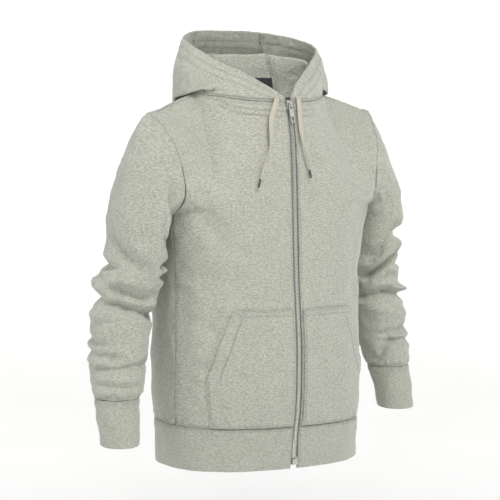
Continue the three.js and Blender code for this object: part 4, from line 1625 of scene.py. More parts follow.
@dataclass
class Garment:
    """What the pieces share: the finishes, the forms and the lines to be sewn."""

    finishes: Finishes
    trunk: Trunk = field(default_factory=Trunk)
    sewing: dict = field(default_factory=lambda: {"body": [], "sleeves": [], "hood": []})

    def stitch(
        self,
        group: str,
        patch: Patch,
        edge: Edge,
        distance: Amount,
        trim: tuple = (0.0, 0.0),
        lift: float = THREAD_LIFT,
    ) -> None:
        """Keeps a line of stitches for the run of its group.

        Args:
            group: Which run lays it.
            patch: The piece that is sewn.
            edge: The edge that the line follows.
            distance: How far from it, in mm.
            trim: Shares of the line left off at its two ends.
            lift: How far above the cloth, in mm.
        """
        line = patch.line(edge, distance, lift, trim)
        if len(line) > 1:
            self.sewing[group].append(line)

    def settle(
        self, made: bpy.types.Object, finish: bpy.types.Material, slot: str, nodes: tuple, body: str = BODY
    ) -> None:
        """Gives a piece its finish and its place in the frame.

        Args:
            made: The finished piece.
            finish: Its material, where it has none yet.
            slot: Not used.
            nodes: The solids that it stands for.
            body: The body that it rides on.
        """
        if not made.data.materials:
            made.data.materials.append(finish)
        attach(made, body)
        if nodes:
            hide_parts(*nodes)
        LOG.info("%s: %d faces", made.name, len(made.data.polygons))

    def cloth(
        self,
        made: bpy.types.Object,
        facts: tuple,
        slot: str,
        node: str,
        held: str = "hung",
        rests_on: tuple = (),
    ) -> None:
        """Settles a sheet of cloth that stands for one solid.

        Args:
            made: The finished piece.
            facts: What sheet_facts gave for it; not used.
            slot: Names the finish in the garment's sheets.
            node: The solid that it stands for.
            held: How the cloth is held; not used.
            rests_on: What it lies on; not used.
        """
        self.settle(made, self.finishes.sheets[slot], slot, (node,))


@dataclass
class Body:
    """The two fronts, the back and the hem band."""

    garment: Garment
    creases: BodyCreases = field(default_factory=BodyCreases)
    rows: tuple = (150, 470.0)
    cols: tuple = (76, 200.0)
    hem_rows: tuple = (24, 63.0)
    hem_cols: tuple = (300, 840.0)
    side_trim: float = 0.0003
    topstitch_mm: float = 2.4
    neck_row_mm: float = 4.0
    facing_swell: tuple = (0.85, 6.6, 2.4)
    facing_dip: tuple = (0.5, 11.5, 3.2)
    facing_rows_mm: tuple = (13.0, 21.0)
    facing_wide_mm: tuple = (30.0, 86.0)
    hem_stitch_mm: float = 3.2

    def half(self, back: bool) -> np.ndarray:
        """The points of one half of the back, or of the left front, smooth."""
        h, c = net(self.rows, self.cols)
        return self.garment.trunk.panel_point(back, c * (1 - self.side_trim), h)

    def front(self, side: Side) -> None:
        """Makes one front.

        Args:
            side: Which one.
        """
        patch = Patch(mirrored(self.half(False), side), flip=side.mirror)
        facts = sheet_facts(patch)
        zip_side = patch.from_edge(Edge.START)
        away = (zip_side + HALF_OPENING) * (-1.0 if side.mirror else 1.0)
        places = stack(away, patch.points[..., 1], patch.points[..., 2])
        patch.points = self.garment.trunk.settled(patch.points)
        fade = smooth(patch.from_edge(Edge.END) / 12) * smooth((zip_side + 2) / 18)
        height = self.creases.height(places, False) * fade
        high, high_at, high_width = self.facing_swell
        low, low_at, low_width = self.facing_dip
        height += high * bell(zip_side - high_at, high_width) - low * bell(zip_side - low_at, low_width)
        patch.push(height)
        seams = (
            Seam(Edge.START, 0.5, 1.6, (self.topstitch_mm,), 0.6, 0.22, 9.0),
            Seam(Edge.END, *SIDE_SEAM),
            Seam(Edge.FOOT, *HEM_SEAM),
            Seam(Edge.HEAD, 0.7, 2.4, (self.neck_row_mm,), 0.5, 0.3, 12.0),
        )
        patch.sew(seams, 21 if side.mirror else 31)
        stitch = self.garment.stitch
        stitch("body", patch, Edge.START, self.topstitch_mm, (0.01, 0.015))
        stitch("body", patch, Edge.HEAD, self.neck_row_mm, (0.02, 0.02))
        stitch("body", patch, Edge.FOOT, RIB_ROW_MM, (0.02, 0.02))
        for depth in self.facing_rows_mm:
            wide = self.facing_wide_mm[int(side.mirror)] + depth
            share = np.clip(patch.u[-1, : patch.points.shape[1]] / wide, 0, 1)
            reach = self.neck_row_mm + (depth - self.neck_row_mm) * (1 - share**6) ** 0.5
            row = bell(patch.from_edge(Edge.HEAD) - reach, 1.1) * (share < 1)
            # Painted shade along the facing's stitch row, over a shallow groove.
            patch.seam_shade = np.maximum(patch.seam_shade, 0.7 * row)
            patch.push(-0.4 * row)
            stitch("body", patch, Edge.HEAD, reach, (0.04, 1 - float((share < 1).mean())))
        name = "front_" + side.value
        shell = patch.shell(name, CLOTH, (0.0, 0.0) if side.mirror else (31.3, 7.7))
        self.garment.cloth(shell, facts, "jersey", name)

    def back(self) -> None:
        """Makes the back in one piece."""
        half = self.half(True)
        whole = np.concatenate([mirrored(half[:, :0:-1], Side.RIGHT), half], axis=1)
        patch = Patch(whole, flip=True)
        facts = sheet_facts(patch)
        fade = smooth(np.minimum(patch.from_edge(Edge.START), patch.from_edge(Edge.END)) / 12)
        middle = half.shape[1] - 1
        away = patch.u[:, : whole.shape[1]] - patch.u[:, middle : middle + 1]
        places = stack(away, whole[..., 1], whole[..., 2])
        patch.points = self.garment.trunk.settled(patch.points)
        patch.push(self.creases.height(places, True) * fade)
        seams = (
            Seam(Edge.START, *SIDE_SEAM),
            Seam(Edge.END, *SIDE_SEAM),
            Seam(Edge.FOOT, *HEM_SEAM),
            Seam(Edge.HEAD, 1.1, 2.6, (self.neck_row_mm,), 0.5, 0.3, 12.0),
        )
        patch.sew(seams, 41)
        self.garment.stitch("body", patch, Edge.HEAD, self.neck_row_mm, (0.01, 0.01))
        self.garment.stitch("body", patch, Edge.FOOT, RIB_ROW_MM, (0.01, 0.01))
        self.garment.cloth(patch.shell("back", CLOTH, (57.1, 3.9), (0, middle)), facts, "jersey", "back")

    def hem(self) -> None:
        """Makes the doubled hem band, open at the zip."""
        trunk = self.garment.trunk
        h, c = net(self.hem_rows, self.hem_cols)
        z = mix(HEM_Z, RIB_SEAM_Z, h)
        start = trunk.angle_of(HALF_OPENING, z)
        angle = mix(start, 360 - start, c)
        points = trunk.body_point(np.where(angle > 180, 360 - angle, angle), z)
        points[..., 0] *= np.where(angle > 180, -1.0, 1.0)
        patch = Patch(trunk.settled(points))
        facts = sheet_facts(patch)
        height = ripple(points, 46, 0.5, 71) * smooth(patch.from_edge(Edge.HEAD) / 20)
        patch.push(height + ripple(points, 15, 0.12, 72))
        seams = (
            Seam(Edge.HEAD, 0.45, 2.0, (self.hem_stitch_mm,), 0.5, 0.4, 14.0),
            Seam(Edge.START, 0.6, 1.6, (self.topstitch_mm,), 0.5, 0.2, 9.0),
            Seam(Edge.END, 0.6, 1.6, (self.topstitch_mm,), 0.5, 0.2, 9.0),
        )
        patch.sew(seams, 73)
        self.garment.stitch("body", patch, Edge.HEAD, self.hem_stitch_mm)
        for edge in (Edge.START, Edge.END):
            self.garment.stitch("body", patch, edge, self.topstitch_mm, (0.04, 0.0))
        self.garment.cloth(patch.shell("hem_band", RIB, (3.3, 91.0)), facts, "rib", "hem_band")

    def build(self) -> None:
        """Makes all four pieces."""
        for side in Side:
            self.front(side)
        self.back()
        self.hem()


@dataclass
class Sleeve:
    """A sleeve and its cuff."""

    garment: Garment
    side: Side
    turns: int = 132
    cap_rows: tuple = (46, 60.0)
    tube_rows: tuple = (118, 236.0)
    cuff_rows: tuple = (26, 66.0)
    twin_mm: tuple = (3.0, 6.4)

    def around(self) -> np.ndarray:
        """The turns of the columns, from the seam under the arm all round."""
        return 180 + np.arange(self.turns) * 360.0 / self.turns

    def tube(self, arm: Arm) -> np.ndarray:
        """The points of the sleeve, from the armhole down to the cuff seam.

        Args:
            arm: The sleeve's form.

        Returns:
            Rows of places, in mm.
        """
        near = spread(*self.cap_rows)
        cap = near[: np.searchsorted(near, 0.97)]
        k, t = np.meshgrid(cap, self.around(), indexing="ij")
        upper = arm.cap_point(self.side, t, k)
        down = spread(*self.tube_rows)
        down = np.concatenate([[0.0], down[down > 0.02]])
        z, t = np.meshgrid(mix(TUBE_START_Z, CUFF_SEAM_Z, down), self.around(), indexing="ij")
        self.tube_row = len(cap)
        return np.concatenate([upper, arm.tube_point(self.side, t, z)])

    def build(self) -> None:
        """Makes the sleeve and the cuff."""
        arm = Arm(self.garment.trunk)
        name = self.side.value
        patch = Patch(mirrored(self.tube(arm), self.side), ring=True, flip=self.side.mirror)
        facts = sheet_facts(patch)
        seed = 120 if self.side.mirror else 140
        fade = smooth(patch.from_edge(Edge.FOOT) / 16) * smooth(patch.from_edge(Edge.HEAD) / 12)
        wrinkles = ripple(patch.points, 44, 0.8, seed) + ripple(patch.points, 19, 0.3, seed + 1)
        wrinkles += crumple(patch.points, 20, 1.5, seed + 8) + crumple(patch.points, 11, 0.5, seed + 9)
        patch.push(wrinkles * fade)
        seams = (
            Seam(Edge.FOOT, 0.25, 1.8, (), 0.45, 0.4, 18.0),
            Seam(Edge.HEAD, 0.5, 2.0, (self.twin_mm[0],), 0.6, 0.5, 20.0),
        )
        patch.sew(seams, seed + 2)
        self.garment.stitch("sleeves", patch, Edge.HEAD, self.twin_mm[0])
        shift = (77.7, 15.1) if self.side.mirror else (11.9, 55.3)
        shell = patch.shell("sleeve_" + name, CLOTH, shift, (self.tube_row, 0))
        self.garment.cloth(shell, facts, "jersey", "sleeve_" + name)
        z = mix(CUFF_SEAM_Z - SEAM_GAP, CUFF_END_Z, spread(*self.cuff_rows))
        z, turn = np.meshgrid(z, self.around(), indexing="ij")
        points = mirrored(arm.tube_point(self.side, turn, z), self.side)
        cuff = Patch(points, ring=True, flip=self.side.mirror)
        facts = sheet_facts(cuff)
        cuff.push(ripple(cuff.points, 34, 0.45, seed + 3) + ripple(cuff.points, 12, 0.12, seed + 4))
        cuff.sew((Seam(Edge.FOOT, 0.4, 2.0, self.twin_mm, 0.6, 0.4, 16.0),), seed + 5)
        for row in self.twin_mm:
            self.garment.stitch("sleeves", cuff, Edge.FOOT, row)
        shell = cuff.shell("cuff_" + name, RIB, (43.9, 22.2) if self.side.mirror else (5.1, 66.4))
        self.garment.cloth(shell, facts, "rib", "cuff_" + name)


@dataclass
class Pocket:
    """A patch pocket on a front, with a slanted mouth that has a doubled hem."""

    garment: Garment
    side: Side
    creases: BodyCreases
    rows: tuple = (96, 173.0)
    cols: tuple = (70, 110.0)
    lift_mm: float = 0.7
    inset_mm: float = 2.4
    swell_mm: float = 1.6
    hem_mm: float = 18.0
    top_rows_mm: tuple = (2.6, 9.0)
    side_row_mm: float = 3.0
    closed_row_mm: float = 3.4
    edge_z: tuple = (-482.8, -466, -448, -432, -416, -394, -372, -350, -328, -310)
    edge_angle: tuple = (48.5, 49.5, 51, 52, 52, 48.5, 45, 41.3, 37.7, 34)

    def build(self) -> None:
        """Makes the pocket."""
        trunk = self.garment.trunk
        h, c = net(self.rows, self.cols)
        z = mix(self.edge_z[0], self.edge_z[-1], h)
        outer = np.interp(z, self.edge_z, self.edge_angle)
        inner = trunk.angle_of(HALF_OPENING + self.inset_mm, z)
        belly = self.swell_mm * np.sin(math.pi * c) * smooth((z + 479) / 40)
        points = trunk.body_point(mix(inner, outer, c), z, self.lift_mm + CLOTH + belly)
        patch = Patch(mirrored(points, self.side), flip=self.side.mirror)
        facts = sheet_facts(patch)
        zip_side, mouth_side = patch.from_edge(Edge.START), patch.from_edge(Edge.END)
        away = (zip_side + HALF_OPENING + self.inset_mm) * (-1.0 if self.side.mirror else 1.0)
        places = stack(away, patch.points[..., 1], patch.points[..., 2])
        patch.points = trunk.settled(patch.points)
        open_here = smooth((z + 424) / 18) * smooth((-313 - z) / 12)
        seed = 210 if self.side.mirror else 230
        height = self.creases.height(places, False) * smooth((zip_side + 2) / 18)
        height += ripple(patch.points, 36, 0.4, seed) * smooth(patch.from_edge(Edge.FOOT) / 20)
        height += open_here * (1.3 * bell(mouth_side, 16.0) + 0.5 * bell(mouth_side - 9, 6.0))
        height -= open_here * 0.7 * bell(mouth_side - self.hem_mm, 1.4)
        closed_row = bell(mouth_side - self.closed_row_mm, 0.9)
        height -= (1 - open_here) * (1.2 * bell(mouth_side, 2.2) + 0.5 * closed_row)
        patch.push(height)
        seams = (
            Seam(Edge.START, 0.9, 2.0, (self.side_row_mm,), 0.5, 0.2, 10.0),
            Seam(Edge.HEAD, 1.3, 2.2, self.top_rows_mm, 0.6, 0.4, 14.0),
            Seam(Edge.FOOT, 0.7, 2.4, (RIB_ROW_MM,), 0.5, 0.4, 16.0),
        )
        patch.sew(seams, seed + 1)
        # Painted shade along the mouth's hem row and the stitch row of the closed edge.
        hem_line = 0.75 * bell(mouth_side - self.hem_mm, 1.1) * open_here
        closed = 0.7 * bell(mouth_side - self.closed_row_mm, 1.0) * (1 - open_here)
        patch.seam_shade = np.maximum(patch.seam_shade, np.maximum(hem_line, closed))
        for edge, distance, trim in (
            (Edge.HEAD, self.top_rows_mm[0], (0.02, 0.02)),
            (Edge.HEAD, self.top_rows_mm[1], (0.02, 0.12)),
            (Edge.END, self.hem_mm, (0.33, 0.06)),
            (Edge.END, self.closed_row_mm, (0.02, 0.04)),
            (Edge.FOOT, RIB_ROW_MM, (0.02, 0.02)),
        ):
            self.garment.stitch("body", patch, edge, distance, trim)
        name = "pocket_" + self.side.value
        shell = patch.shell(name, CLOTH, (66.6, 30.3) if self.side.mirror else (19.1, 83.7))
        self.garment.cloth(shell, facts, "jersey", name, "laid", ("front_" + self.side.value,))


@dataclass
class Hood:
    """The folded hood: two sides and a middle panel."""

    garment: Garment
    rows: tuple = (150, 360.0)
    side_cols: tuple = (120, 300.0)
    middle_cols: tuple = (60, 110.0)
    seam_at: float = 0.83
    overlap: float = 0.0012
    tunnel_mm: float = 25.0
    edge_row_mm: float = 13.5
    neck_row_mm: float = 3.2
    fold_at: float = 4 / 6

    def thickness(self, v: np.ndarray) -> np.ndarray:
        """The cloth's thickness by share of the way up; the hem round the opening is doubled."""
        return mix(CLOTH, HOOD_HEM, smooth((v - 0.86) / 0.05))

    def dress(self, patch: Patch, s: np.ndarray, v: np.ndarray, seams: tuple[Seam, ...], seed: int) -> None:
        """Gives a panel its unevenness, its hem tunnel and its seams.

        Args:
            patch: The panel.
            s: Each point's share of the way round.
            v: Each point's share of the way up.
            seams: How it is sewn to its neighbours.
            seed: Picks the pattern of the puckers.
        """
        calm = 1 - 0.85 * smooth((s - 0.82) / 0.06) * smooth((0.22 - v) / 0.05)
        calm = calm * (1 - 0.85 * bell(v - self.fold_at, 0.07) * smooth((0.68 - s) / 0.1))
        rim = patch.from_edge(Edge.HEAD)
        height = ripple(patch.points, 52, 0.8, 301) + ripple(patch.points, 22, 0.32, 302)
        height = height * calm * smooth(patch.from_edge(Edge.FOOT) / 14) * mix(0.45, 1.0, smooth(rim / 30))
        creased = crumple(patch.points, 26, 0.8, 303) * calm * smooth((rim - 22) / 14)
        height += 0.5 * bell(rim - 19, 4.5) + creased
        patch.push(height)
        rim_seam = Seam(Edge.HEAD, 0.2, 1.6, (self.edge_row_mm, self.tunnel_mm), 0.65, 0.35, 20.0)
        neck_seam = Seam(Edge.FOOT, 1.1, 2.6, (self.neck_row_mm,), 0.5, 0.3, 12.0)
        patch.sew((rim_seam, neck_seam, *seams), seed)

    def topstitch(self, patch: Patch, edges: tuple[Edge, ...], front: bool) -> None:
        """Sews a panel's rows of stitches, which show on both faces of the cloth.

        Args:
            patch: The panel.
            edges: Its edges that are sewn to the next panel.
            front: Whether its rows end at the hood's front corner.
        """
        stitch = self.garment.stitch
        for lift in (THREAD_LIFT, -CLOTH - THREAD_LIFT):
            for edge in edges:
                stitch("hood", patch, edge, PANEL_ROW_MM, (0.02, 0.02), lift)
            in_hem = lift - (HOOD_HEM - CLOTH if lift < 0 else 0)
            for row in (self.edge_row_mm, self.tunnel_mm):
                stitch("hood", patch, Edge.HEAD, row, (0.03 if front else 0.0, 0.0), in_hem)
        stitch("hood", patch, Edge.FOOT, self.neck_row_mm, (0.02 if front else 0.0, 0.0))

    def side(self, side: Side) -> None:
        """Makes one side.

        Args:
            side: Which one.
        """
        form = HoodForm(self.garment.trunk)
        v, c = net(self.rows, self.side_cols)
        s = c * (self.seam_at + self.overlap)
        patch = Patch(mirrored(form.point(s, v), side), flip=side.mirror)
        facts = sheet_facts(patch)
        front_seam = Seam(Edge.START, 0.4, 1.8, (3.0,), 0.5, 0.2, 9.0)
        self.dress(patch, s, v, (Seam(Edge.END, *HOOD_SEAM), front_seam), 311)
        self.topstitch(patch, (Edge.END,), True)
        name = "hood_" + side.value
        shift = (88.1, 40.4) if side.mirror else (29.3, 12.2)
        shell = patch.shell(name, self.thickness(v[:, 0]), shift, (0, round(0.7 * patch.points.shape[1])))
        self.garment.cloth(shell, facts, "jersey", name)

    def middle(self) -> None:
        """Makes the middle panel."""
        form = HoodForm(self.garment.trunk)
        v, c = net(self.rows, self.middle_cols)
        off = np.abs(2 * c - 1)
        s = mix(1.0, self.seam_at - self.overlap, off)
        points = form.point(s, v)
        points[..., 0] *= np.where(c <= 0.5, 1.0, -1.0)
        patch = Patch(points)
        facts = sheet_facts(patch)
        both = (Edge.START, Edge.END)
        self.dress(patch, s, v, tuple(Seam(edge, *HOOD_SEAM) for edge in both), 321)
        self.topstitch(patch, both, False)
        shell = patch.shell("hood_middle", self.thickness(v[:, 0]), (51.7, 70.9))
        self.garment.cloth(shell, facts, "jersey", "hood_middle")

    def build(self) -> None:
        """Makes the three panels."""
        for side in Side:
            self.side(side)
        self.middle()


@dataclass
class NeckLabel:
    """A plain woven label, stitched down all round inside the back of the neck."""

    garment: Garment
    rows: tuple = (20, 34.0)
    cols: tuple = (54, 108.0)
    end: float = 0.846
    depth_mm: float = 0.8
    lift_mm: float = 2.7
    stitch_mm: float = 1.8
    thread_lift_mm: float = 0.05

    def build(self) -> None:
        """Makes the label and the lines of its stitches."""
        form = HoodForm(self.garment.trunk)
        h, c = net(self.rows, self.cols)
        off = np.abs(2 * c - 1)
        s, v = mix(1.0, self.end, off), mix(0.035, 0.16, h)
        points = form.point(s, v) + form.inside(s, v) * self.lift_mm
        points[..., 0] = self.cols[1] / 2 * off * np.where(c <= 0.5, 1.0, -1.0)
        patch = Patch(points)
        facts = sheet_facts(patch)
        patch.push(ripple(points, 18, 0.1, 401))
        under = -self.depth_mm - self.thread_lift_mm
        self.lines = [patch.line(edge, self.stitch_mm, under, (0.06, 0.06)) for edge in Edge]
        shell = patch.shell("neck_label", self.depth_mm, (2.0, 3.0))
        self.garment.cloth(shell, facts, "label", "neck_label", "laid", ("hood_middle",))


@dataclass
class Zip:
    """The closed zip: two tapes, two rows of teeth, the retainer box, the slider and the pull tab."""

    garment: Garment
    tree: PathTree
    tape_inner: float = 1.9
    tape_outer: float = 14.0
    tape_lift: float = -3.5
    tape_thick: float = 1.0
    tape_rows: tuple = (120, 517.0)
    tape_cols: tuple = (12, 12.0)
    tooth_pitch: float = 2.0
    tooth_reach: float = 3.0
    tooth_overlap: float = 0.9
    tooth_high: float = 1.15
    tooth_deep: float = 2.1
    chain_foot: float = -531.4
    chain_head: float = -17.3
    bevel_mm: float = 0.35

    def tape(self, side: Side) -> None:
        """Makes one tape.

        Args:
            side: Which one.
        """
        trunk = self.garment.trunk
        h, c = net(self.tape_rows, self.tape_cols)
        z = mix(self.chain_foot, NECK_FRONT_Z - 1, h)
        points = trunk.centre_line(z) + trunk.centre_out(z) * self.tape_lift
        points[..., 0] = mix(self.tape_inner, self.tape_outer, c)
        patch = Patch(mirrored(points, side), flip=side.mirror)
        facts = sheet_facts(patch)
        name = "zip_tape_" + side.value
        shell = patch.shell(name, self.tape_thick, (0.0, 4.0))
        self.garment.cloth(shell, facts, "zip_tape", name, "stretched", ("front_" + side.value,))

    def tooth(self, side: Side) -> bpy.types.Object:
        """One tooth along Z: a leg on the tape, a waist and a rounded head past the middle.

        Args:
            side: Whose row it is for.

        Returns:
            The part that is repeated.
        """
        across = np.array([self.tooth_reach, self.tooth_reach - 0.35, 1.5, 0.7, -0.35, -self.tooth_overlap])
        tall = np.array([0.62, 1.0, 0.86, 0.78, 1.0, 0.55]) * self.tooth_high / 2
        deep = np.array([0.7, 1.0, 0.92, 0.92, 0.95, 0.62]) * self.tooth_deep / 2
        cut = 0.55
        quarter = np.array([(1, cut), (cut, 1), (-cut, 1), (-1, cut)])
        corner = np.vstack([quarter, -quarter])
        rings = [stack(x, corner[:, 0] * d, corner[:, 1] * t) for x, d, t in zip(across, deep, tall)]
        rings = [mirrored(ring, side) for ring in rings]
        count = len(corner)
        last = (len(rings) - 1) * count
        faces = [tuple(range(count)), tuple(range(last, last + count))[::-1]]
        faces += tube_faces(len(rings), count, turned=True)
        if side.mirror:
            faces = [f[::-1] for f in faces]
        return mesh_object("tooth_part_" + side.value, np.vstack(rings) * MM, faces, smooth_shade=False)

    def chain(self) -> None:
        """Lays the two rows of teeth."""
        trunk, finish = self.garment.trunk, self.garment.finishes.teeth
        rows, parts = [], []
        for side in Side:
            shift = self.tooth_pitch / 2 if side.mirror else 0.0
            z = np.linspace(self.chain_foot + 1.0 + shift, self.chain_head - 0.5, 260)
            line = trunk.centre_line(z) + trunk.centre_out(z) * (self.tape_lift + 1.4)
            parts.append(self.tooth(side))
            name = "zip_teeth_" + side.value
            rows.append(self.tree.run(name, [line], parts[-1], self.tooth_pitch, finish))
        for part in parts:
            bpy.data.objects.remove(part)
        for k, row in enumerate(rows):
            self.garment.settle(row, finish, "zip_metal", ("zip_chain",) if k == 0 else ())

    def softened(self, node: str, body: str = BODY) -> None:
        """Stands a copy of a metal solid with its edges rounded in the solid's place.

        Args:
            node: The solid.
            body: The body that it rides on.
        """
        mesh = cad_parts[node].data.copy()
        mesh.name = node + "_shaped"
        made = placed(node + "_shaped", mesh)
        work = bmesh.new()
        work.from_mesh(mesh)
        bmesh.ops.remove_doubles(work, verts=work.verts, dist=0.00001)
        bmesh.ops.dissolve_limit(work, angle_limit=math.radians(4), verts=work.verts, edges=work.edges)
        work.to_mesh(mesh)
        work.free()
        mesh.materials.clear()
        round_off = made.modifiers.new("round", "BEVEL")
        round_off.width = self.bevel_mm * MM
        round_off.segments = 3
        round_off.limit_method = "ANGLE"
        round_off.angle_limit = math.radians(30)
        result = worked_out(made)
        made.modifiers.clear()
        made.data = result
        result.polygons.foreach_set("use_smooth", [False] * len(result.polygons))
        self.garment.settle(made, self.garment.finishes.nickel, "zip_metal", (node,), body)

    def build(self) -> None:
        """Makes every piece of the zip."""
        for side in Side:
            self.tape(side)
        self.chain()
        self.softened("zip_slider")
        self.softened("zip_box")
        self.softened("pull_tab", TAB_BODY)


@dataclass(frozen=True)
class CordRoute:
    """One hanging end of the drawcord: its points in mm, from inside the hood's hem down to its tip."""

    side: Side
    points: tuple
    twist: float
    twist_from: float


RIGHT_CORD = CordRoute(
    Side.RIGHT,
    (
        (-20, -76.5, -4.8),
        (-23.5, -84.5, -9),
        (-29, -89, -17),
        (-35.5, -92.5, -28),
        (-39.5, -95, -38),
        (-40.5, -97, -52),
        (-42.5, -99, -67),
        (-46.5, -100.5, -80),
        (-52.5, -101, -91),
        (-59, -101.5, -107),
        (-63, -102, -121),
    ),
    -1.2,
    0.42,
)
LEFT_CORD = CordRoute(
    Side.LEFT,
    (
        (18, -76.6, -4.9),
        (15, -85, -9),
        (12.8, -89.5, -19),
        (11.6, -93.5, -35),
        (11.6, -96.5, -52),
        (12, -99, -66),
        (14.5, -100.5, -77),
        (17, -101, -86),
        (20, -101.5, -98),
        (22.5, -102, -110),
    ),
    -1.2,
    0.48,
)


def centripetal(points: np.ndarray, count: int) -> np.ndarray:
    """A smooth line through points, with centripetal spacing.

    Args:
        points: The points that it goes through.
        count: How many steps it gets between two of them.

    Returns:
        Points along it.
    """
    p = np.vstack([2 * points[0] - points[1], points, 2 * points[-1] - points[-2]])
    w = (np.arange(count) / count)[:, None]
    found = []
    for k in range(len(points) - 1):
        four = p[k : k + 4]
        gaps = tuple(math.sqrt(np.linalg.norm(b - a)) for a, b in zip(four, four[1:]))
        found.append(between(four, gaps, w))
    return np.vstack([*found, points[-1:]])


@dataclass
class Drawcord:
    """One end of the flat drawcord, with its metal tip and the stitched buttonhole that it comes out of."""

    garment: Garment
    route: CordRoute
    width: float = 7.2
    thick: float = 1.7
    steps: int = 9
    around: int = 20
    taper_mm: float = 9.0
    tail_share: float = 0.62
    tip_radius: float = 1.6
    tip_wall: float = 0.15
    tip_around: int = 24
    tip_gap: float = 0.04
    hole_half: tuple = (6.0, 2.6)
    hole_thread: float = 0.75
    hole_stitches: int = 44
    hole_steps: int = 6
    hole_around: int = 10
    hole_search: tuple = (60, 80)

    def ribbon(self) -> bpy.types.Object:
        """Makes the cord itself, and keeps its path and length.

        Returns:
            The cord.
        """
        points = centripetal(np.array(self.route.points, float), self.steps)
        tangent = unit(np.gradient(points, axis=0))
        gone = np.concatenate([[0.0], np.cumsum(np.linalg.norm(np.diff(points, axis=0), axis=1))])
        share = gone / gone[-1]
        across = np.array([1.0, 0.0, 0.0])
        turn = full_turn(self.around)
        shape = np.stack([np.cos(turn), np.sin(turn)], axis=1)
        shape = np.sign(shape) * np.abs(shape) ** np.array([0.55, 0.8])
        in_tip = self.tip_radius - self.tip_wall
        wider = smooth((gone[-1] - gone) / self.taper_mm)
        narrow = mix(in_tip / (self.width / 2), 1.0, wider)
        narrow = narrow * mix(1.0, self.tail_share, smooth((share - self.route.twist_from) / 0.2))
        deep = mix(in_tip / (self.thick / 2), 1.0, wider)
        twist = self.route.twist * smooth((share - self.route.twist_from) / 0.3)
        rings = []
        for k in range(len(points)):
            across = unit(across - tangent[k] * np.dot(across, tangent[k]))
            out = np.cross(tangent[k], across)
            wide = across * math.cos(twist[k]) + out * math.sin(twist[k])
            flat = np.cross(tangent[k], wide)
            edge = 1 + 0.03 * math.sin(gone[k] * 2.1) + 0.02 * math.sin(gone[k] * 5.3)
            cupped = 0.35 * (shape[:, :1] ** 2) * flat
            rings.append(
                points[k]
                + shape[:, :1] * wide * self.width / 2 * narrow[k] * edge
                + shape[:, 1:] * flat * self.thick / 2 * deep[k]
                + cupped * narrow[k]
            )
        count = self.around
        vertices = np.vstack([*rings, points[:1], points[-1:]])
        faces = tube_faces(len(rings), count) + tube_ends(len(rings), count)
        u = np.arange(count + 1) * 2 * (self.width + self.thick) / count * UV_PER_MM
        v = gone * UV_PER_MM
        uv = []
        for v0, v1 in zip(v, v[1:]):
            for u0, u1 in zip(u, u[1:]):
                uv += [(u0, v0), (u1, v0), (u1, v1), (u0, v1)]
        uv += [(0.0, 0.0)] * (6 * count)
        made = mesh_object("drawcord_" + self.route.side.value + "_braid", vertices * MM, faces, np.array(uv))
        self.path = points * MM
        self.length = float(gone[-1]) * MM
        return made

    def tip(self) -> bpy.types.Object:
        """Makes the metal tip, crimped on the cord's end.

        Returns:
            The tip.
        """
        end, before = (np.array(self.route.points[k], float) for k in (-1, -2))
        away = unit(end - before)
        along = np.array([0, 0.25, 0.7, 2.0, 2.3, 2.7, 3.0, 8.6, 8.9, 9.3, 9.6, 11.2, 11.75, 12.0])
        wide = np.array([0.8, 0.95, 1, 1, 0.9, 0.9, 1, 1, 0.9, 0.9, 1, 0.97, 0.85, 0.6]) * self.tip_radius
        side = unit(np.cross(away, [0.0, 0.0, 1.0]))
        other = np.cross(away, side)
        turn = full_turn(self.tip_around)
        rim = np.cos(turn)[:, None] * side + np.sin(turn)[:, None] * other
        rings = [end + away * (a + self.tip_gap) + rim * w for a, w in zip(along, wide)]
        vertices = np.vstack([*rings, rings[0].mean(0)[None], rings[-1].mean(0)[None]])
        faces = tube_faces(len(rings), self.tip_around) + tube_ends(len(rings), self.tip_around)
        return mesh_object("cord_tip_" + self.route.side.value + "_shaped", vertices * MM, faces)

    def buttonhole(self) -> None:
        """Makes the ring of close stitches round the place where the cord comes out."""
        form = HoodForm(self.garment.trunk)
        rows, cols = self.hole_search
        s, v = np.meshgrid(np.linspace(0.02, 0.2, rows), np.linspace(0.02, 0.6, cols), indexing="ij")
        sheet = mirrored(form.point(s, v), self.route.side)
        start = np.array(self.route.points[0], float)
        near = np.linalg.norm(sheet - (start + np.array([0, -1.5, -0.6])), axis=-1)
        i, j = np.unravel_index(int(near.argmin()), near.shape)
        i, j = min(max(i, 1), rows - 2), min(max(j, 1), cols - 2)
        wide = unit(sheet[i + 1, j] - sheet[i - 1, j]) * (-1.0 if self.route.side.mirror else 1.0)
        out = unit(np.cross(wide, sheet[i, j + 1] - sheet[i, j - 1]))
        tall = np.cross(out, wide)
        turn = full_turn(self.hole_stitches * self.hole_steps)
        ring, section = np.meshgrid(turn, full_turn(self.hole_around), indexing="ij")
        thread = self.hole_thread * (1 + 0.22 * np.cos(ring * self.hole_stitches))
        reach = np.cos(section) * thread
        level = np.sin(section) * thread * 0.8
        centre = sheet[i, j] + out * 0.15
        spot = (
            centre
            + np.cos(ring)[..., None] * wide * (self.hole_half[0] + reach)[..., None]
            + np.sin(ring)[..., None] * tall * (self.hole_half[1] + reach)[..., None]
            + out * level[..., None]
        )
        closed = tube_faces(len(turn) + 1, self.hole_around)
        faces = [tuple(k % ring.size for k in corners[::-1]) for corners in closed]
        made = mesh_object("buttonhole_" + self.route.side.value, spot.reshape(-1, 3) * MM, faces)
        self.garment.settle(made, self.garment.finishes.thread, "jersey", ())

    def build(self) -> None:
        """Makes the cord, its tip and its buttonhole."""
        name = self.route.side.value
        cord, tip = self.ribbon(), self.tip()
        self.garment.settle(cord, self.garment.finishes.cord, "cord", ("drawcord_" + name,))
        self.garment.settle(tip, self.garment.finishes.bronze, "tip_metal", ("cord_tip_" + name,))
        LOG.info("drawcord %s: %.4f m", name, self.length)
        self.buttonhole()


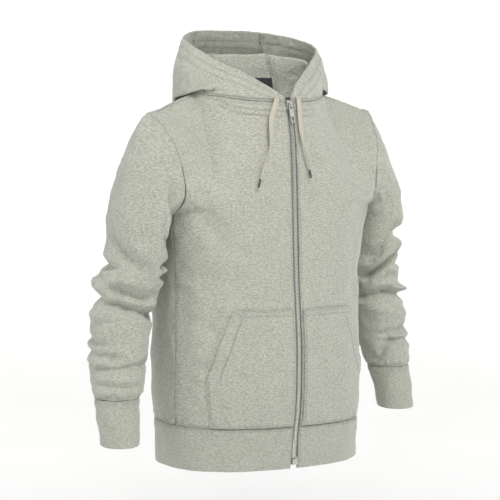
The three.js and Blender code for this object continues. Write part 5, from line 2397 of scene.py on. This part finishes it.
@dataclass(frozen=True)
class Studio:
    """The camera at the photograph's angle, a plain pale floor that curves up behind, and soft light."""

    camera_at: tuple = (-1.2917, -1.9151, 0.0)
    look_at: tuple = (-0.00869, 0.00586, -0.23355)
    lens_mm: float = 111.65
    floor_z: float = -1.25
    floor_reach: float = 4.0
    floor_around: int = 72
    cove: float = 1.6
    wall_height: float = 4.5
    pale: tuple = (0.92, 0.92, 0.915, 1.0)
    paler: tuple = (0.93, 0.93, 0.925, 1.0)
    key: tuple = ((0.8, 1.7, 1.95), 0.8, 44.0)
    fill: tuple = ((-2.1, 0.7, 1.5), 1.3, 13.0)
    wash_count: int = 6
    wash_turn: float = 0.52
    wash_at: float = 1.7
    wash_aim: float = 4.5
    wash_watts: float = 58.0
    sky_strength: float = 0.24

    def camera(self) -> None:
        """Sets the scene's camera."""
        data = bpy.data.cameras.new("photo_camera")
        data.lens = self.lens_mm
        data.sensor_width = 36.0
        data.clip_end = 60.0
        made = placed("photo_camera", data)
        made.location = self.camera_at
        way = Vector(self.look_at) - Vector(self.camera_at)
        made.rotation_euler = way.to_track_quat("-Z", "Y").to_euler()
        bpy.context.scene.camera = made

    def floor(self) -> None:
        """Makes a round floor that curves up into a pale wall on every side."""
        bend = np.linspace(0, math.pi / 2, 14)
        profile = [(0.001, 0.0)]
        for t in bend:
            profile.append((self.floor_reach + self.cove * math.sin(t), self.cove * (1 - math.cos(t))))
        profile.append((self.floor_reach + self.cove, self.wall_height))
        angle = full_turn(self.floor_around)
        rings = [stack(r * np.cos(angle), r * np.sin(angle), self.floor_z + h) for r, h in profile]
        faces = tube_faces(len(profile), self.floor_around, turned=True)
        made = mesh_object("studio_floor", np.vstack(rings), faces)
        paint, g, shader = new_material("studio_pale")
        mottle = g.noise(g.place("Object"), 3.0, 2.0)
        g.put(shader.inputs["Base Color"], g.blend(g.span(mottle, 0.3, 0.7), self.pale, self.paler))
        shader.inputs["Roughness"].default_value = 0.9
        made.data.materials.append(paint)

    def lamp(self, name: str, spot: tuple, size: float, power: float, aim: tuple = (0.0, 0.0, 0.0)) -> None:
        """Sets a soft lamp by its place as the camera sees it.

        Args:
            name: The lamp's name.
            spot: Metres to the camera's right of the garment, towards the camera, and above its middle.
            size: Its width in metres.
            power: In watts.
            aim: The place that it is turned to, in the same way.
        """
        way = np.array(self.look_at) - np.array(self.camera_at)
        way = unit(way * np.array([1.0, 1.0, 0.0]))
        axes = np.array([[way[1], -way[0], 0.0], -way, [0, 0, 1]])
        spot, aim = (np.array(self.look_at) + np.array(place) @ axes for place in (spot, aim))
        data = bpy.data.lights.new(name, "AREA")
        data.size = size
        data.energy = power
        made = placed(name, data)
        made.location = spot
        made.rotation_euler = Vector(aim - spot).to_track_quat("-Z", "Y").to_euler()

    def light(self) -> None:
        """Sets the lamps and the pale surroundings."""
        self.lamp("key", *self.key)
        self.lamp("fill", *self.fill)
        for k in range(self.wash_count):
            turn = k * 2 * math.pi / self.wash_count + self.wash_turn
            east, north = math.cos(turn), math.sin(turn)
            spot = (self.wash_at * east, self.wash_at * north, 1.9)
            aim = (self.wash_aim * east, self.wash_aim * north, 1.5)
            self.lamp(f"wash_{k}", spot, 2.0, self.wash_watts, aim)
        bpy.context.scene.view_settings.view_transform = "Standard"
        world = bpy.data.worlds.new("pale_studio")
        world.use_nodes = True
        sky = world.node_tree.nodes["Background"]
        sky.inputs["Color"].default_value = (1.0, 1.0, 1.0, 1.0)
        sky.inputs["Strength"].default_value = self.sky_strength
        bpy.context.scene.world = world

    def build(self) -> None:
        """Sets the whole studio."""
        self.camera()
        self.floor()
        self.light()


def sew_all(garment: Garment, tree: PathTree, label: NeckLabel) -> None:
    """Lays the stitches of every seam.

    Args:
        garment: The garment, with the lines gathered from its pieces.
        tree: The tree that lays a part along lines.
        label: The neck label, with its own lines.
    """
    kind = Stitches()
    part = kind.part()
    runs = [(name, lines, garment.finishes.thread, "jersey") for name, lines in garment.sewing.items()]
    runs.append(("label", label.lines, garment.finishes.dark_thread, "label"))
    for name, lines, finish, slot in runs:
        made = tree.run("stitches_" + name, lines, part, kind.pitch, finish)
        garment.settle(made, finish, slot, ())
    bpy.data.objects.remove(part)


def main() -> None:
    """Builds the studio, the drawcord, the cloth, the zip, the label and the stitches, in that order."""
    logging.basicConfig(level=logging.INFO, format="%(name)s: %(message)s")
    Studio().build()
    garment = Garment(Finishes())
    tree = PathTree("set_along_lines")
    for route in (RIGHT_CORD, LEFT_CORD):
        Drawcord(garment, route).build()
    body = Body(garment)
    body.build()
    for side in Side:
        Sleeve(garment, side).build()
        Pocket(garment, side, body.creases).build()
    Hood(garment).build()
    Zip(garment, tree).build()
    label = NeckLabel(garment)
    label.build()
    sew_all(garment, tree, label)


if __name__ == "__main__":
    main()
